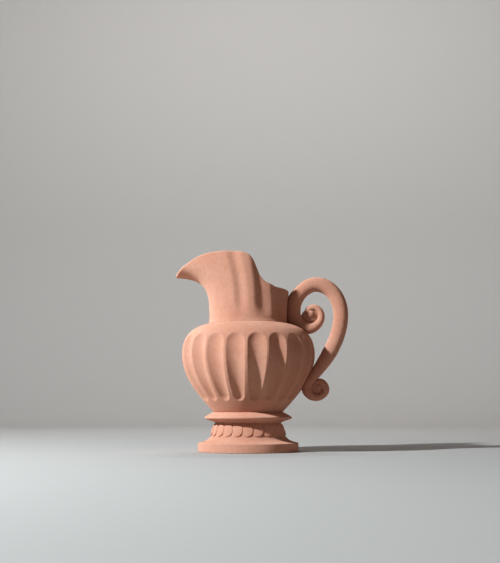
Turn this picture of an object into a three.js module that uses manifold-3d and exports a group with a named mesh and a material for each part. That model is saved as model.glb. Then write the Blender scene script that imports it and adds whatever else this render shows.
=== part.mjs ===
// Terracotta carafe: a footed, fluted jug with a helmet spout and a scrolled handle.
// Millimetres, +Z up. The handle is towards +X and the spout towards -X.
// Each piece is one thrown, pressed or rolled piece of clay, as it is before the pieces are luted together.
import * as THREE from "three";
import { mergeVertices } from "three/addons/utils/BufferGeometryUtils.js";
import Module from "manifold-3d";

const wasm = await Module();
wasm.setup();

const degrees = THREE.MathUtils.degToRad;
const mix = THREE.MathUtils.lerp;
const smooth = (low, high, x) => THREE.MathUtils.smoothstep(x, low, high);

// Foot: a low plinth, a tapering stem that carries a ring of scales, and a sharp collar
const PLINTH_RADIUS = 74;
const PLINTH_EDGE_HEIGHT = 13;
const PLINTH_EDGE_ROUND = 2.5;
const PLINTH_HEIGHT = 21.5;
const PLINTH_MARGIN = 19;
const STEM_FOOT_RADIUS = PLINTH_RADIUS - PLINTH_MARGIN;
const STEM_TOP_RADIUS = 48.5;
const STEM_HEIGHT = 20;
const COLLAR_RADIUS = 64.7;
const COLLAR_HEIGHT = 16;
const COLLAR_EDGE = 3;
const COLLAR_BORE_RADIUS = 30;
const FOOT_WALL = 11;

// Ledge left bare round a piece that stands on a wider one
const SEAT_LEDGE = 1.2;

// Scales: overlapping round lozenges pressed on to the stem, with bare stem above and below them
const SCALE_COUNT = 22;
const SCALE_MARGIN = 1.3;
const SCALE_THIN = 0.8;
const SCALE_THICK = 2.3;

// Belly: a bowl and a shoulder that meet at the widest line
const BOWL_FOOT_RADIUS = 50.7;
const BOWL_HEIGHT = 85.5;
const BELLY_RADIUS = 99;
const SHOULDER_HEIGHT = 45;
const BELLY_WALL = 7;
const BOWL_FLOOR = 10;
const FLOOR_ROUND = 3;

// Flutes: scooped hollows down the belly, with narrow lands between them
const FLUTE_COUNT = 20;
const FLUTE_DEPTH = 6;
const FLUTE_LAND = 4;
const FLUTE_FOOT_LAND = 7;
const FLUTE_TOP_MARGIN = 18.5;
const FLUTE_FOOT_MARGIN = 16;
const FLUTE_TOP_CAP = 13;
const FLUTE_FOOT_CAP = 8;
const FLUTE_EDGE_SOFTNESS = 0.12;

// Neck: a round foot that opens into a pulled spout, with a rim that is low at the handle
const NECK_RADIUS = 58;
const NECK_WALL = 6;
const BORE_ROUND = 1;
const LIP_WALL = 4.6;
const LIP_CROWN = 1.6;
const RIM_FLARE = 2.5;
const RIM_BACK_HEIGHT = 47.5;
const RIM_BACK_RISE = 12;
const RIM_STEP = 38.8;
const RIM_STEP_ANGLE = degrees(71);
const RIM_STEP_SOFTNESS = degrees(4.6);
const RIM_LEAN = 6;
const CREST_RISE = 3;
const CREST_START_ANGLE = degrees(78);
const CREST_END_ANGLE = degrees(112);
const SPOUT_REACH = 46.9;
const SPOUT_DROP = 31.3;
const SPOUT_SHOULDER_ANGLE = degrees(114);
const SPOUT_BREADTH = 0.2;
const SPOUT_NARROWNESS = 3;
const THROAT_START_ANGLE = degrees(131);
const THROAT_END_ANGLE = degrees(167);
const TIP_START_ANGLE = degrees(149);
const TIP_END_ANGLE = degrees(179);

// Folds of the neck, by their angles from the handle at the foot and at the rim, and by how far each one
// spreads towards the spout and towards the handle
const NECK_FOLDS = [
  { foot: degrees(98.5), rim: degrees(103.5), depth: 3.3, toSpout: degrees(11), toHandle: degrees(13) },
  { foot: degrees(69), rim: degrees(70.5), depth: 6.2, toSpout: degrees(14), toHandle: degrees(18) },
  { foot: degrees(38), rim: degrees(38), depth: 4.5, toSpout: degrees(15), toHandle: degrees(16) },
];
const FOLD_FADE = 0.24;

// Handle: an arm with a rolled scroll luted to each end
const ROOT_RADIUS = 10;
const ROOT_BELOW_RIM = 9.5;
const ROOT_STAND_OFF = 0.4;
const ARM_RADIUS = 11;
const ARM_PAST_BELLY = 50.4;
const ARM_SIDE_DROP = 24;
const ARCH_RISE = 32.4;
const ARCH_OUT = 33.6;
const UPPER_EYE_OUT = 26;
const UPPER_EYE_RISE = 13;
const UPPER_ROOT_ANGLE = degrees(171);
const UPPER_TAIL_ANGLE = degrees(710);
const UPPER_TAIL_TURN = 5.8;
const UPPER_TAIL_RADIUS = 5.6;
const UPPER_TAPER_SHARE = 0.33;
const UPPER_KNOB_RADIUS = 6;
const LOWER_EYE_OUT = 21.5;
const LOWER_EYE_DROP = 49.6;
const LOWER_ROOT_RADIUS = 7.6;
const LOWER_ROOT_TURN = 15.7;
const LOWER_ROOT_ANGLE = degrees(140);
const LOWER_TAIL_ANGLE = degrees(450);
const LOWER_TAIL_TURN = 6.5;
const LOWER_TAIL_RADIUS = 5.6;
const LOWER_KNOB_RADIUS = 8.2;

// Clearance left where one piece is shaped to another
const SEAT_GAP = 0.3;

// Fineness of the facets
const ROUND_STEPS = 44;
const COVE_STEPS = 5;
const HOLLOW_STEPS = 40;
const HOLLOW_ROWS = 10;
const FLUTE_STEPS = 4;
const FLUTE_ROW_SPACING = 14;
const SCALE_STEPS = 12;
const NECK_STEPS = 72;
const NECK_ROWS = 12;
const STRAND_STEPS = 12;
const ARM_ROWS = 26;
const UPPER_ROWS = 34;
const LOWER_ROWS = 24;

// Heights of the seats, from the floor up
const STEM_Z = PLINTH_HEIGHT;
const COLLAR_Z = STEM_Z + STEM_HEIGHT;
const BOWL_Z = COLLAR_Z + COLLAR_HEIGHT;
const BELLY_Z = BOWL_Z + BOWL_HEIGHT;
const NECK_Z = BELLY_Z + SHOULDER_HEIGHT;

// A closed surface over rows of points that all run the same way round. Fans close its two ends,
// or the last row joins the first where the rows go round a ring.
function skin(rows, ring = false) {
  const steps = rows[0].length;
  const positions = rows.flat().flatMap((p) => [p.x, p.y, p.z]);
  const index = [];
  const bands = ring ? rows.length : rows.length - 1;
  for (let row = 0; row < bands; row++) {
    const next = (row + 1) % rows.length;
    for (let i = 0; i < steps; i++) {
      const j = (i + 1) % steps;
      const [a, b] = [row * steps + i, row * steps + j];
      const [c, d] = [next * steps + j, next * steps + i];
      index.push(a, b, c, a, c, d);
    }
  }
  const ends = ring ? [] : [[0, true], [rows.length - 1, false]];
  for (const [row, first] of ends) {
    const centre = rows[row].reduce((sum, p) => sum.add(p), new THREE.Vector3()).divideScalar(steps);
    const hub = positions.length / 3;
    positions.push(centre.x, centre.y, centre.z);
    for (let i = 0; i < steps; i++) {
      const [a, b] = [row * steps + i, row * steps + ((i + 1) % steps)];
      index.push(...(first ? [b, a, hub] : [a, b, hub]));
    }
  }
  const geometry = new THREE.BufferGeometry();
  geometry.setAttribute("position", new THREE.Float32BufferAttribute(positions, 3));
  return geometry.setIndex(index);
}

// A geometry as a solid that can be joined and cut, and back again
function solidOf(geometry) {
  const bare = geometry.clone();
  bare.deleteAttribute("normal");
  bare.deleteAttribute("uv");
  const merged = mergeVertices(bare, 1e-4);
  const vertProperties = new Float32Array(merged.attributes.position.array);
  const triVerts = new Uint32Array(merged.index.array);
  return new wasm.Manifold(new wasm.Mesh({ numProp: 3, vertProperties, triVerts }));
}

function geometryOf(solid) {
  const mesh = solid.getMesh();
  const geometry = new THREE.BufferGeometry();
  geometry.setAttribute("position", new THREE.BufferAttribute(new Float32Array(mesh.vertProperties), 3));
  return geometry.setIndex(new THREE.BufferAttribute(new Uint32Array(mesh.triVerts), 1));
}

// A solid turned about +Z from a closed outline of [radius, height] points that runs up its outside
function turned(outline, steps = ROUND_STEPS) {
  const points = [...outline, outline[0]].map(([r, z]) => new THREE.Vector2(r, z));
  return new THREE.LatheGeometry(points, steps).rotateX(Math.PI / 2);
}

const curve = (...points) => new THREE.CubicBezierCurve(...points.map(([r, z]) => new THREE.Vector2(r, z)));
const along = (profile, steps) => profile.getPoints(steps).map((p) => [p.x, p.y]);

// Foot

const STEM_FOOT_BORE = STEM_FOOT_RADIUS - FOOT_WALL;
const STEM_TOP_BORE = STEM_TOP_RADIUS - FOOT_WALL;

// Upright edge, then a cove that rises to the stem
function plinth() {
  const shelf = STEM_FOOT_RADIUS + SEAT_LEDGE;
  const width = PLINTH_RADIUS - shelf;
  const rise = PLINTH_HEIGHT - PLINTH_EDGE_HEIGHT;
  const cove = curve(
    [PLINTH_RADIUS, PLINTH_EDGE_HEIGHT],
    [shelf + 0.55 * width, PLINTH_EDGE_HEIGHT + 0.1 * rise],
    [shelf + 0.15 * width, PLINTH_EDGE_HEIGHT + 0.45 * rise],
    [shelf, PLINTH_HEIGHT],
  );
  return turned([
    [STEM_FOOT_BORE, 0],
    [PLINTH_RADIUS - PLINTH_EDGE_ROUND, 0],
    [PLINTH_RADIUS - 0.3 * PLINTH_EDGE_ROUND, 0.3 * PLINTH_EDGE_ROUND],
    [PLINTH_RADIUS, PLINTH_EDGE_ROUND],
    ...along(cove, COVE_STEPS),
    [STEM_FOOT_BORE, PLINTH_HEIGHT],
  ]);
}

function stem() {
  return turned([
    [STEM_FOOT_BORE, STEM_Z],
    [STEM_FOOT_RADIUS, STEM_Z],
    [STEM_TOP_RADIUS, COLLAR_Z],
    [STEM_TOP_BORE, COLLAR_Z],
  ]);
}

// A disc with a cove below its sharp edge and a bevel above it
function collar() {
  const edgeZ = COLLAR_Z + 0.5 * COLLAR_HEIGHT;
  const width = COLLAR_RADIUS - STEM_TOP_RADIUS;
  const cove = curve(
    [STEM_TOP_RADIUS, COLLAR_Z],
    [STEM_TOP_RADIUS + 0.15 * width, COLLAR_Z + 0.2 * COLLAR_HEIGHT],
    [STEM_TOP_RADIUS + 0.6 * width, COLLAR_Z + 0.25 * COLLAR_HEIGHT],
    [COLLAR_RADIUS - 0.3 * COLLAR_EDGE, edgeZ - 0.5 * COLLAR_EDGE],
  );
  return turned([
    [COLLAR_BORE_RADIUS, COLLAR_Z],
    ...along(cove, COVE_STEPS),
    [COLLAR_RADIUS, edgeZ],
    [COLLAR_RADIUS - 0.3 * COLLAR_EDGE, edgeZ + 0.5 * COLLAR_EDGE],
    [BOWL_FOOT_RADIUS + SEAT_LEDGE, BOWL_Z],
    [COLLAR_BORE_RADIUS, BOWL_Z],
  ]);
}

const SCALE_RADIUS = 0.5 * STEM_HEIGHT - SCALE_MARGIN;

// One scale, bent round the stem's cone: its leading side stands proud and its other side is thin.
// The grown one is the room that it takes out of its neighbour.
function scaleSolid(turn, grow) {
  const slope = (STEM_TOP_RADIUS - STEM_FOOT_RADIUS) / STEM_HEIGHT;
  const middleZ = STEM_Z + 0.5 * STEM_HEIGHT;
  const middleRadius = 0.5 * (STEM_FOOT_RADIUS + STEM_TOP_RADIUS);
  const reach = SCALE_RADIUS + grow;
  const back = () => SEAT_GAP - grow;
  const leading = (across) => 0.5 + (0.5 * across) / SCALE_RADIUS;
  const face = (across) => SEAT_GAP + grow + mix(SCALE_THIN, SCALE_THICK, leading(across));
  const loop = (share, out) =>
    Array.from({ length: SCALE_STEPS }, (_, k) => {
      const bearing = (2 * Math.PI * k) / SCALE_STEPS;
      const across = share * reach * Math.cos(bearing);
      const up = share * reach * Math.sin(bearing);
      const radius = middleRadius + slope * up + out(across);
      const angle = turn + across / middleRadius;
      return new THREE.Vector3(radius * Math.cos(angle), radius * Math.sin(angle), middleZ + up);
    });
  return solidOf(skin([loop(0.5, back), loop(1, back), loop(1, face), loop(0.5, face)]));
}

// The scales lie on each other all the way round, and the handle's line falls between two of them
function scale(number) {
  const pitch = (2 * Math.PI) / SCALE_COUNT;
  const turn = pitch * (number - 0.5);
  return geometryOf(scaleSolid(turn, 0).subtract(scaleSolid(turn - pitch, SEAT_GAP)));
}

// Belly

const bowlProfile = curve(
  [BOWL_FOOT_RADIUS, BOWL_Z],
  [mix(BOWL_FOOT_RADIUS, BELLY_RADIUS, 0.53), BOWL_Z + 0.31 * BOWL_HEIGHT],
  [BELLY_RADIUS, BOWL_Z + 0.63 * BOWL_HEIGHT],
  [BELLY_RADIUS, BELLY_Z],
);
const shoulderProfile = curve(
  [BELLY_RADIUS, BELLY_Z],
  [BELLY_RADIUS, BELLY_Z + 0.63 * SHOULDER_HEIGHT],
  [mix(NECK_RADIUS, BELLY_RADIUS, 0.58), BELLY_Z + 0.9 * SHOULDER_HEIGHT],
  [NECK_RADIUS + SEAT_LEDGE, NECK_Z],
);
const FLUTE_FOOT_Z = BOWL_Z + FLUTE_FOOT_MARGIN;
const FLUTE_TOP_Z = NECK_Z - FLUTE_TOP_MARGIN;

// How deep the flutes are at an angle from the handle, a radius and a height: hollows with round ends,
// deepest on their centre lines, and with a land in line with the handle
function fluteDepth(angle, radius, z) {
  const pitch = (2 * Math.PI) / FLUTE_COUNT;
  const land = mix(FLUTE_FOOT_LAND, FLUTE_LAND, smooth(BOWL_Z, BELLY_Z, z));
  const halfWidth = 0.5 * (pitch - land / radius);
  const across = (((angle % pitch) + pitch) % pitch) - 0.5 * pitch;
  const pastTop = (z - (FLUTE_TOP_Z - FLUTE_TOP_CAP)) / FLUTE_TOP_CAP;
  const pastFoot = (FLUTE_FOOT_Z + FLUTE_FOOT_CAP - z) / FLUTE_FOOT_CAP;
  const inside = 1 - (across / halfWidth) ** 2 - Math.max(0, pastTop, pastFoot) ** 2;
  const hollow = 0.5 * (inside + Math.hypot(inside, FLUTE_EDGE_SOFTNESS));
  return (FLUTE_DEPTH * hollow * radius) / BELLY_RADIUS;
}

// The share of a rising profile at which it reaches a height
function shareAt(profile, height) {
  let [low, high] = [0, 1];
  while (high - low > 1e-6) {
    const middle = 0.5 * (low + high);
    if (profile.getPoint(middle).y < height) low = middle;
    else high = middle;
  }
  return low;
}

// Shares of a profile for the rows of points over its flutes: close together where the flutes end, at these
// parts of a cap inside the end, and evenly spaced beyond
const ROWS_IN_CAP = [-0.25, 0.1, 0.35, 0.7, 1.2];

function fluteRows(profile, end, cap) {
  const near = ROWS_IN_CAP.map((part) => shareAt(profile, end + part * cap)).sort((a, b) => a - b);
  const stops = [0, ...near.filter((share) => share > 0.01 && share < 0.99), 1];
  const bands = stops.slice(1).map((to, k) => {
    const from = stops[k];
    const parts = Math.ceil(profile.getPoint(to).distanceTo(profile.getPoint(from)) / FLUTE_ROW_SPACING);
    return Array.from({ length: parts }, (_, part) => mix(from, to, part / parts));
  });
  return [...bands.flat(), 1];
}

// The fluted outside of the belly along one profile, standing clear of it by grow
function flutedSolid(profile, shares, grow) {
  const steps = FLUTE_COUNT * FLUTE_STEPS;
  const rows = shares.map((share) => {
    const { x: radius, y: z } = profile.getPoint(share);
    return Array.from({ length: steps }, (_, k) => {
      const angle = (2 * Math.PI * k) / steps;
      const out = radius + grow - fluteDepth(angle, radius, z);
      return new THREE.Vector3(out * Math.cos(angle), out * Math.sin(angle), z);
    });
  });
  return solidOf(skin(rows));
}

const bowlRows = fluteRows(bowlProfile, FLUTE_FOOT_Z, FLUTE_FOOT_CAP);
const shoulderRows = fluteRows(shoulderProfile, FLUTE_TOP_Z, -FLUTE_TOP_CAP);
const bowlOutside = (grow) => flutedSolid(bowlProfile, bowlRows, grow);
const shoulderOutside = (grow) => flutedSolid(shoulderProfile, shoulderRows, grow);

// The inside of a wall: the profile moved in, square to itself, by a wall that may change along it
function insideOf(profile, wallAt) {
  return Array.from({ length: HOLLOW_ROWS + 1 }, (_, k) => {
    const share = k / HOLLOW_ROWS;
    const point = profile.getPoint(share);
    const heading = profile.getTangent(share);
    return [point.x - wallAt(share) * heading.y, point.y + wallAt(share) * heading.x];
  });
}

const RIDGE_WALL = BELLY_WALL + FLUTE_DEPTH;
const PAST_FACE = 1;

function bowl() {
  const floorZ = BOWL_Z + BOWL_FLOOR;
  const wall = insideOf(bowlProfile, () => RIDGE_WALL).filter(([, z]) => z > floorZ + FLOOR_ROUND);
  const hollow = [
    [0, floorZ],
    [wall[0][0] - FLOOR_ROUND, floorZ],
    ...wall,
    [BELLY_RADIUS - RIDGE_WALL, BELLY_Z + PAST_FACE],
    [0, BELLY_Z + PAST_FACE],
  ];
  return geometryOf(bowlOutside(0).subtract(solidOf(turned(hollow, HOLLOW_STEPS))));
}

function shoulder() {
  const bore = NECK_RADIUS - NECK_WALL;
  const wallAt = (share) => mix(RIDGE_WALL, BELLY_WALL, share);
  const wall = insideOf(shoulderProfile, wallAt).filter(([r]) => r > bore + BORE_ROUND);
  const [, lastZ] = wall[wall.length - 1];
  const hollow = [
    [0, BELLY_Z - PAST_FACE],
    [BELLY_RADIUS - RIDGE_WALL, BELLY_Z - PAST_FACE],
    ...wall,
    [bore, lastZ + BORE_ROUND],
    [bore, NECK_Z + PAST_FACE],
    [0, NECK_Z + PAST_FACE],
  ];
  return geometryOf(shoulderOutside(0).subtract(solidOf(turned(hollow, HOLLOW_STEPS))));
}

// Neck

const fromHandle = (angle) => Math.abs(Math.atan2(Math.sin(angle), Math.cos(angle)));

// How much of the spout's pull an angle takes: all of it at the spout, none on the handle's side
const spoutShare = (angle) => Math.max(0, -Math.cos(angle)) ** SPOUT_NARROWNESS;

// The rim's outer edge: low behind, a steep step at the sides, a high crest and a falling spout
function rimPoint(angle) {
  const turn = fromHandle(angle);
  const pull = spoutShare(angle);
  const reach = NECK_RADIUS + RIM_FLARE;
  const backRise = RIM_BACK_RISE * Math.min(1, turn / RIM_STEP_ANGLE) ** 2.2;
  const step = RIM_STEP / (1 + Math.exp((RIM_STEP_ANGLE - turn) / RIM_STEP_SOFTNESS));
  const toTip = Math.max(0, turn - SPOUT_SHOULDER_ANGLE) / (Math.PI - SPOUT_SHOULDER_ANGLE);
  const fall = SPOUT_DROP * Math.sin(0.5 * Math.PI * toTip ** 1.5) ** 2;
  const crest = CREST_RISE * smooth(CREST_START_ANGLE, CREST_END_ANGLE, turn);
  return new THREE.Vector3(
    reach * Math.cos(angle) - SPOUT_REACH * pull - RIM_LEAN * Math.sin(angle) ** 2,
    reach * Math.sin(angle) * (1 + SPOUT_BREADTH * pull),
    NECK_Z + RIM_BACK_HEIGHT + backRise + step + crest - fall,
  );
}

// How far the folds draw the wall in, from the foot of the neck at rise 0 to the rim at rise 1
function foldDepth(angle, rise) {
  const fade = smooth(0, FOLD_FADE, rise);
  return NECK_FOLDS.reduce((sum, fold) => {
    const turn = fromHandle(angle) - mix(fold.foot, fold.rim, rise);
    const off = turn > 0 ? turn / fold.toSpout : -turn / fold.toHandle;
    return off < 1 ? sum + fade * fold.depth * Math.cos(0.5 * Math.PI * off) ** 2 : sum;
  }, 0);
}

// A point of the smooth curve that a row of points pulls, at a share of the way along it
function pulledPoint(points, share) {
  if (points.length === 1) return points[0];
  return pulledPoint(points.slice(1).map((next, k) => points[k].clone().lerp(next, share)), share);
}

// Shares of a rail's height: its knee and its bend above the foot, the bend's further rise in the throat of
// the spout, and its upright end below the rim
const KNEE_SHARE = 0.5;
const BEND_SHARE = 0.72;
const THROAT_RISE = 0.1;
const LIP_SHARE = 0.165;

// Shares of the rim's overhang: the bend's reach out of the foot, the undercut of the spout's tip, and the
// fall of the rail below that tip
const BEND_REACH = 0.5;
const TIP_UNDERCUT = 0.75;
const TIP_FALL = 0.04;

// A point of the neck's outside: each rail rises upright from the round foot, bends out below the rim's
// overhang and ends upright at the rim, or nearly level under the spout's tip
function neckPoint(angle, rise, grow) {
  const turn = fromHandle(angle);
  const throat = smooth(THROAT_START_ANGLE, THROAT_END_ANGLE, turn);
  const tip = smooth(TIP_START_ANGLE, TIP_END_ANGLE, turn);
  const outward = new THREE.Vector3(Math.cos(angle), Math.sin(angle), 0);
  const foot = outward.clone().multiplyScalar(NECK_RADIUS).setZ(NECK_Z);
  const rim = rimPoint(angle);
  const tall = rim.z - NECK_Z;
  const overhang = rim.dot(outward) - NECK_RADIUS;
  const knee = foot.clone().setZ(NECK_Z + KNEE_SHARE * tall);
  const bend = foot.clone().addScaledVector(outward, BEND_REACH * (1 - throat) * overhang);
  bend.setZ(NECK_Z + (BEND_SHARE + THROAT_RISE * throat) * tall);
  const lip = rim.clone().addScaledVector(outward, -TIP_UNDERCUT * tip * overhang);
  lip.setZ(rim.z - mix(LIP_SHARE * tall, TIP_FALL * overhang, tip));
  const point = pulledPoint([foot, knee, bend, lip, rim], rise);
  return point.addScaledVector(outward, grow - foldDepth(angle, rise));
}

function neckGrid(grow) {
  const row = (rise) =>
    Array.from({ length: NECK_STEPS }, (_, k) => neckPoint((2 * Math.PI * k) / NECK_STEPS, rise, grow));
  return Array.from({ length: NECK_ROWS + 1 }, (_, k) => row(k / NECK_ROWS));
}

const neckOutside = (grow) => solidOf(skin(neckGrid(grow)));

function neck() {
  const outside = neckGrid(0);
  const inside = outside.map((row, r) =>
    row.map((point, k) => {
      const above = outside[Math.min(r + 1, NECK_ROWS)][k];
      const below = outside[Math.max(r - 1, 0)][k];
      const ahead = row[(k + 1) % NECK_STEPS];
      const behind = row[(k + NECK_STEPS - 1) % NECK_STEPS];
      const normal = ahead.clone().sub(behind).cross(above.clone().sub(below));
      if (r === 0) normal.setZ(0);
      return point.clone().addScaledVector(normal.normalize(), -mix(NECK_WALL, LIP_WALL, r / NECK_ROWS));
    }),
  );
  const crown = outside[NECK_ROWS].map((edge, k) => {
    const heading = edge.clone().sub(outside[NECK_ROWS - 1][k]).normalize();
    return edge.clone().lerp(inside[NECK_ROWS][k], 0.5).addScaledVector(heading, LIP_CROWN);
  });
  return skin([...outside, crown, ...inside.reverse()], true);
}

// Handle

const inPlane = (x, z) => new THREE.Vector3(x, 0, z);

// A strand of clay with a round section, through stations of a point, a heading and a radius
function strand(stations) {
  const rows = stations.map(({ point, heading, radius }) => {
    const across = inPlane(heading.z, -heading.x);
    return Array.from({ length: STRAND_STEPS }, (_, side) => {
      const bearing = (2 * Math.PI * side) / STRAND_STEPS;
      const offset = across.clone().multiplyScalar(radius * Math.cos(bearing));
      return point.clone().add(offset.setY(radius * Math.sin(bearing)));
    });
  });
  return solidOf(skin(rows));
}

// A roll that closes in on its eye: the point and heading at a share of the way from its root to its tail
function rollAt(roll, share) {
  const pointAt = (part) => {
    const angle = mix(roll.rootAngle, roll.tailAngle, part);
    const turn = mix(roll.rootTurn, roll.tailTurn, roll.closing(part));
    return inPlane(roll.eyeX + turn * Math.cos(angle), roll.eyeZ + turn * Math.sin(angle));
  };
  const step = 1e-3;
  const heading = pointAt(share + step).sub(pointAt(share)).normalize();
  return { point: pointAt(share), heading, radius: roll.radius(share) };
}

const ROOT_X = NECK_RADIUS + ROOT_RADIUS + ROOT_STAND_OFF;
const ROOT_Z = NECK_Z + RIM_BACK_HEIGHT - ROOT_BELOW_RIM;
const LOWER_EYE_Z = BELLY_Z - LOWER_EYE_DROP;
const upperRoll = {
  eyeX: ROOT_X + UPPER_EYE_OUT,
  eyeZ: NECK_Z + UPPER_EYE_RISE,
  rootAngle: UPPER_ROOT_ANGLE,
  tailAngle: UPPER_TAIL_ANGLE,
  rootTurn: -UPPER_EYE_OUT / Math.cos(UPPER_ROOT_ANGLE),
  tailTurn: UPPER_TAIL_TURN,
  closing: (share) => 1 - Math.max(0, 1 - share) ** 2,
  radius: (share) => mix(ROOT_RADIUS, UPPER_TAIL_RADIUS, Math.min(1, share / UPPER_TAPER_SHARE)),
};
const lowerRoll = {
  eyeX: bowlProfile.getPoint(shareAt(bowlProfile, LOWER_EYE_Z)).x + LOWER_EYE_OUT,
  eyeZ: LOWER_EYE_Z,
  rootAngle: LOWER_ROOT_ANGLE,
  tailAngle: LOWER_TAIL_ANGLE,
  rootTurn: LOWER_ROOT_TURN,
  tailTurn: LOWER_TAIL_TURN,
  closing: (share) => share ** 1.6,
  radius: (share) => mix(LOWER_ROOT_RADIUS, LOWER_TAIL_RADIUS, share),
};

// The arm's centre line: up from the upper scroll's root, over the arch and down to the lower scroll.
// A quarter round and the sweep below it each keep to a heading for a share of their length.
function armPath() {
  const round = 0.5523;
  const sweep = 0.36;
  const root = inPlane(ROOT_X, ROOT_Z);
  const top = inPlane(ROOT_X + ARCH_OUT, ROOT_Z + ARCH_RISE - ARM_RADIUS);
  const side = inPlane(BELLY_RADIUS + ARM_PAST_BELLY - ARM_RADIUS, ROOT_Z - ARM_SIDE_DROP);
  const { point: end, heading } = rollAt(lowerRoll, 0);
  const rising = new THREE.CubicBezierCurve3(
    root,
    inPlane(root.x, mix(root.z, top.z, round)),
    inPlane(mix(top.x, root.x, round), top.z),
    top,
  );
  const falling = new THREE.CubicBezierCurve3(
    top,
    inPlane(mix(top.x, side.x, round), top.z),
    inPlane(side.x, mix(side.z, top.z, round)),
    side,
  );
  const sweeping = new THREE.CubicBezierCurve3(
    side,
    inPlane(side.x, mix(side.z, end.z, sweep)),
    end.clone().addScaledVector(heading, -sweep * side.distanceTo(end)),
    end,
  );
  const path = new THREE.CurvePath();
  [rising, falling, sweeping].forEach((part) => path.add(part));
  return path;
}

// The whole arm before the vessel's wall is cut from it, standing clear of itself by grow: it swells up to
// the arch and tapers down its last quarter
function armStrand(grow) {
  const path = armPath();
  const stations = Array.from({ length: ARM_ROWS + 1 }, (_, k) => {
    const share = k / ARM_ROWS;
    const swell = mix(ROOT_RADIUS, ARM_RADIUS, smooth(0, 0.25, share));
    return {
      point: path.getPointAt(share),
      heading: path.getTangentAt(share),
      radius: grow + mix(swell, LOWER_ROOT_RADIUS, smooth(0.75, 1, share)),
    };
  });
  return strand(stations);
}

function arm() {
  return geometryOf(armStrand(0).subtract(bowlOutside(SEAT_GAP)).subtract(neckOutside(SEAT_GAP)));
}

const rollStations = (roll, steps) => Array.from({ length: steps + 1 }, (_, k) => rollAt(roll, k / steps));

// The round end of a strand, in the eye of its roll
function knob(roll, radius) {
  const ball = new THREE.SphereGeometry(radius, STRAND_STEPS, STRAND_STEPS / 2);
  return solidOf(ball.translate(roll.eyeX, 0, roll.eyeZ));
}

// A strand that comes down the neck and rolls up on the shoulder, its inner turn pressed into the outer one
function upperScroll() {
  const half = UPPER_ROWS / 2;
  const rolled = rollStations(upperRoll, UPPER_ROWS);
  const top = inPlane(ROOT_X, ROOT_Z - SEAT_GAP);
  const upright = [0, 0.5].map((share) => ({
    point: top.clone().lerp(rolled[0].point, share),
    heading: inPlane(0, -1),
    radius: ROOT_RADIUS,
  }));
  const outer = strand([...upright, ...rolled.slice(0, half + 1)]);
  const inner = strand(rolled.slice(half));
  const whole = outer.add(inner).add(knob(upperRoll, UPPER_KNOB_RADIUS));
  return geometryOf(whole.subtract(neckOutside(SEAT_GAP)).subtract(shoulderOutside(SEAT_GAP)));
}

// A strand that rolls up on the bowl
function lowerScroll() {
  const rolled = rollStations(lowerRoll, LOWER_ROWS);
  rolled[0].point.addScaledVector(rolled[0].heading, SEAT_GAP);
  const whole = strand(rolled).add(knob(lowerRoll, LOWER_KNOB_RADIUS));
  return geometryOf(whole.subtract(armStrand(SEAT_GAP)).subtract(bowlOutside(SEAT_GAP)));
}

// Assembly

const pieces = {
  foot_plinth: plinth(),
  foot_stem: stem(),
  collar_disc: collar(),
  belly_bowl: bowl(),
  belly_shoulder: shoulder(),
  spouted_neck: neck(),
  handle_arm: arm(),
  upper_scroll: upperScroll(),
  lower_scroll: lowerScroll(),
};
for (let number = 1; number <= SCALE_COUNT; number++) {
  pieces["foot_scale_" + String(number).padStart(2, "0")] = scale(number);
}

const carafe = new THREE.Group();
for (const [name, geometry] of Object.entries(pieces)) {
  const terracotta = new THREE.MeshStandardMaterial({ color: 0xd99c80, roughness: 0.9, metalness: 0 });
  const mesh = new THREE.Mesh(geometry, terracotta);
  mesh.name = name;
  carafe.add(mesh);
}

// The origin is on the floor, under the middle of the carafe's outline from above
const middle = new THREE.Box3().setFromObject(carafe).getCenter(new THREE.Vector3());
carafe.position.x = -middle.x;

export default carafe;
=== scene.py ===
# %% [markdown]
# # A fluted terracotta carafe
# The carafe is a footed earthenware jug. It has a turned foot with a ring of pressed scales, a belly with
# scooped flutes, a neck that is pulled out into a beak, and a handle of rolled clay with a scroll at each
# end. The frame that is loaded here is a simple model of it. It gives each piece its size and its place,
# and the lesson makes each piece again with a fine surface in that place.

# %% Load the frame
from math import comb, cos, pi, radians, sin

import bpy
import numpy as np
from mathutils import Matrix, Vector


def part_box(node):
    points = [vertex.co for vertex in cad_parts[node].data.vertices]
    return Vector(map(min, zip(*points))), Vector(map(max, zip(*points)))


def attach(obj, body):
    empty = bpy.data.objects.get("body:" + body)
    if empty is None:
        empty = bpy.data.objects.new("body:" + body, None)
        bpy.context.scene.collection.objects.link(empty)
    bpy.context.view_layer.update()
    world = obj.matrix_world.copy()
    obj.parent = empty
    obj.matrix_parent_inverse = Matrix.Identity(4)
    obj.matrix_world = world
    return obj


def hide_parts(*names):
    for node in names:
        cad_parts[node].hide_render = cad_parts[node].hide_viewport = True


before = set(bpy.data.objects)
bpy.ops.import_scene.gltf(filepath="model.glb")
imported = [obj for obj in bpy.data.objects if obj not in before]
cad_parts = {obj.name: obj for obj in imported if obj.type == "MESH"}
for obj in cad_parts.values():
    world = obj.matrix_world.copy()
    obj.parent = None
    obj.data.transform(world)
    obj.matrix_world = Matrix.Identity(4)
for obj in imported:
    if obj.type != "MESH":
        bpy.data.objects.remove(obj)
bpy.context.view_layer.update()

# %% [markdown]
# ## Measures
# A potter works from a few measures: how wide each part is and how high its seat is. Here they are read
# from the frame's pieces, in millimetres, so that the fine pieces sit where the simple ones do. All shapes
# below are worked out round the vessel's own axis and moved to the frame only when a piece is made.

# %% Measures from the frame
MM = 0.001


def corners(node):
    """Lowest and highest corner of a piece of the frame, in millimetres."""
    low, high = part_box(node)
    return np.array(low) / MM, np.array(high) / MM


def half_width(node):
    """Half the width of a piece of the frame, measured across the plane of the handle."""
    low, high = corners(node)
    return 0.5 * (high[1] - low[1])


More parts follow.
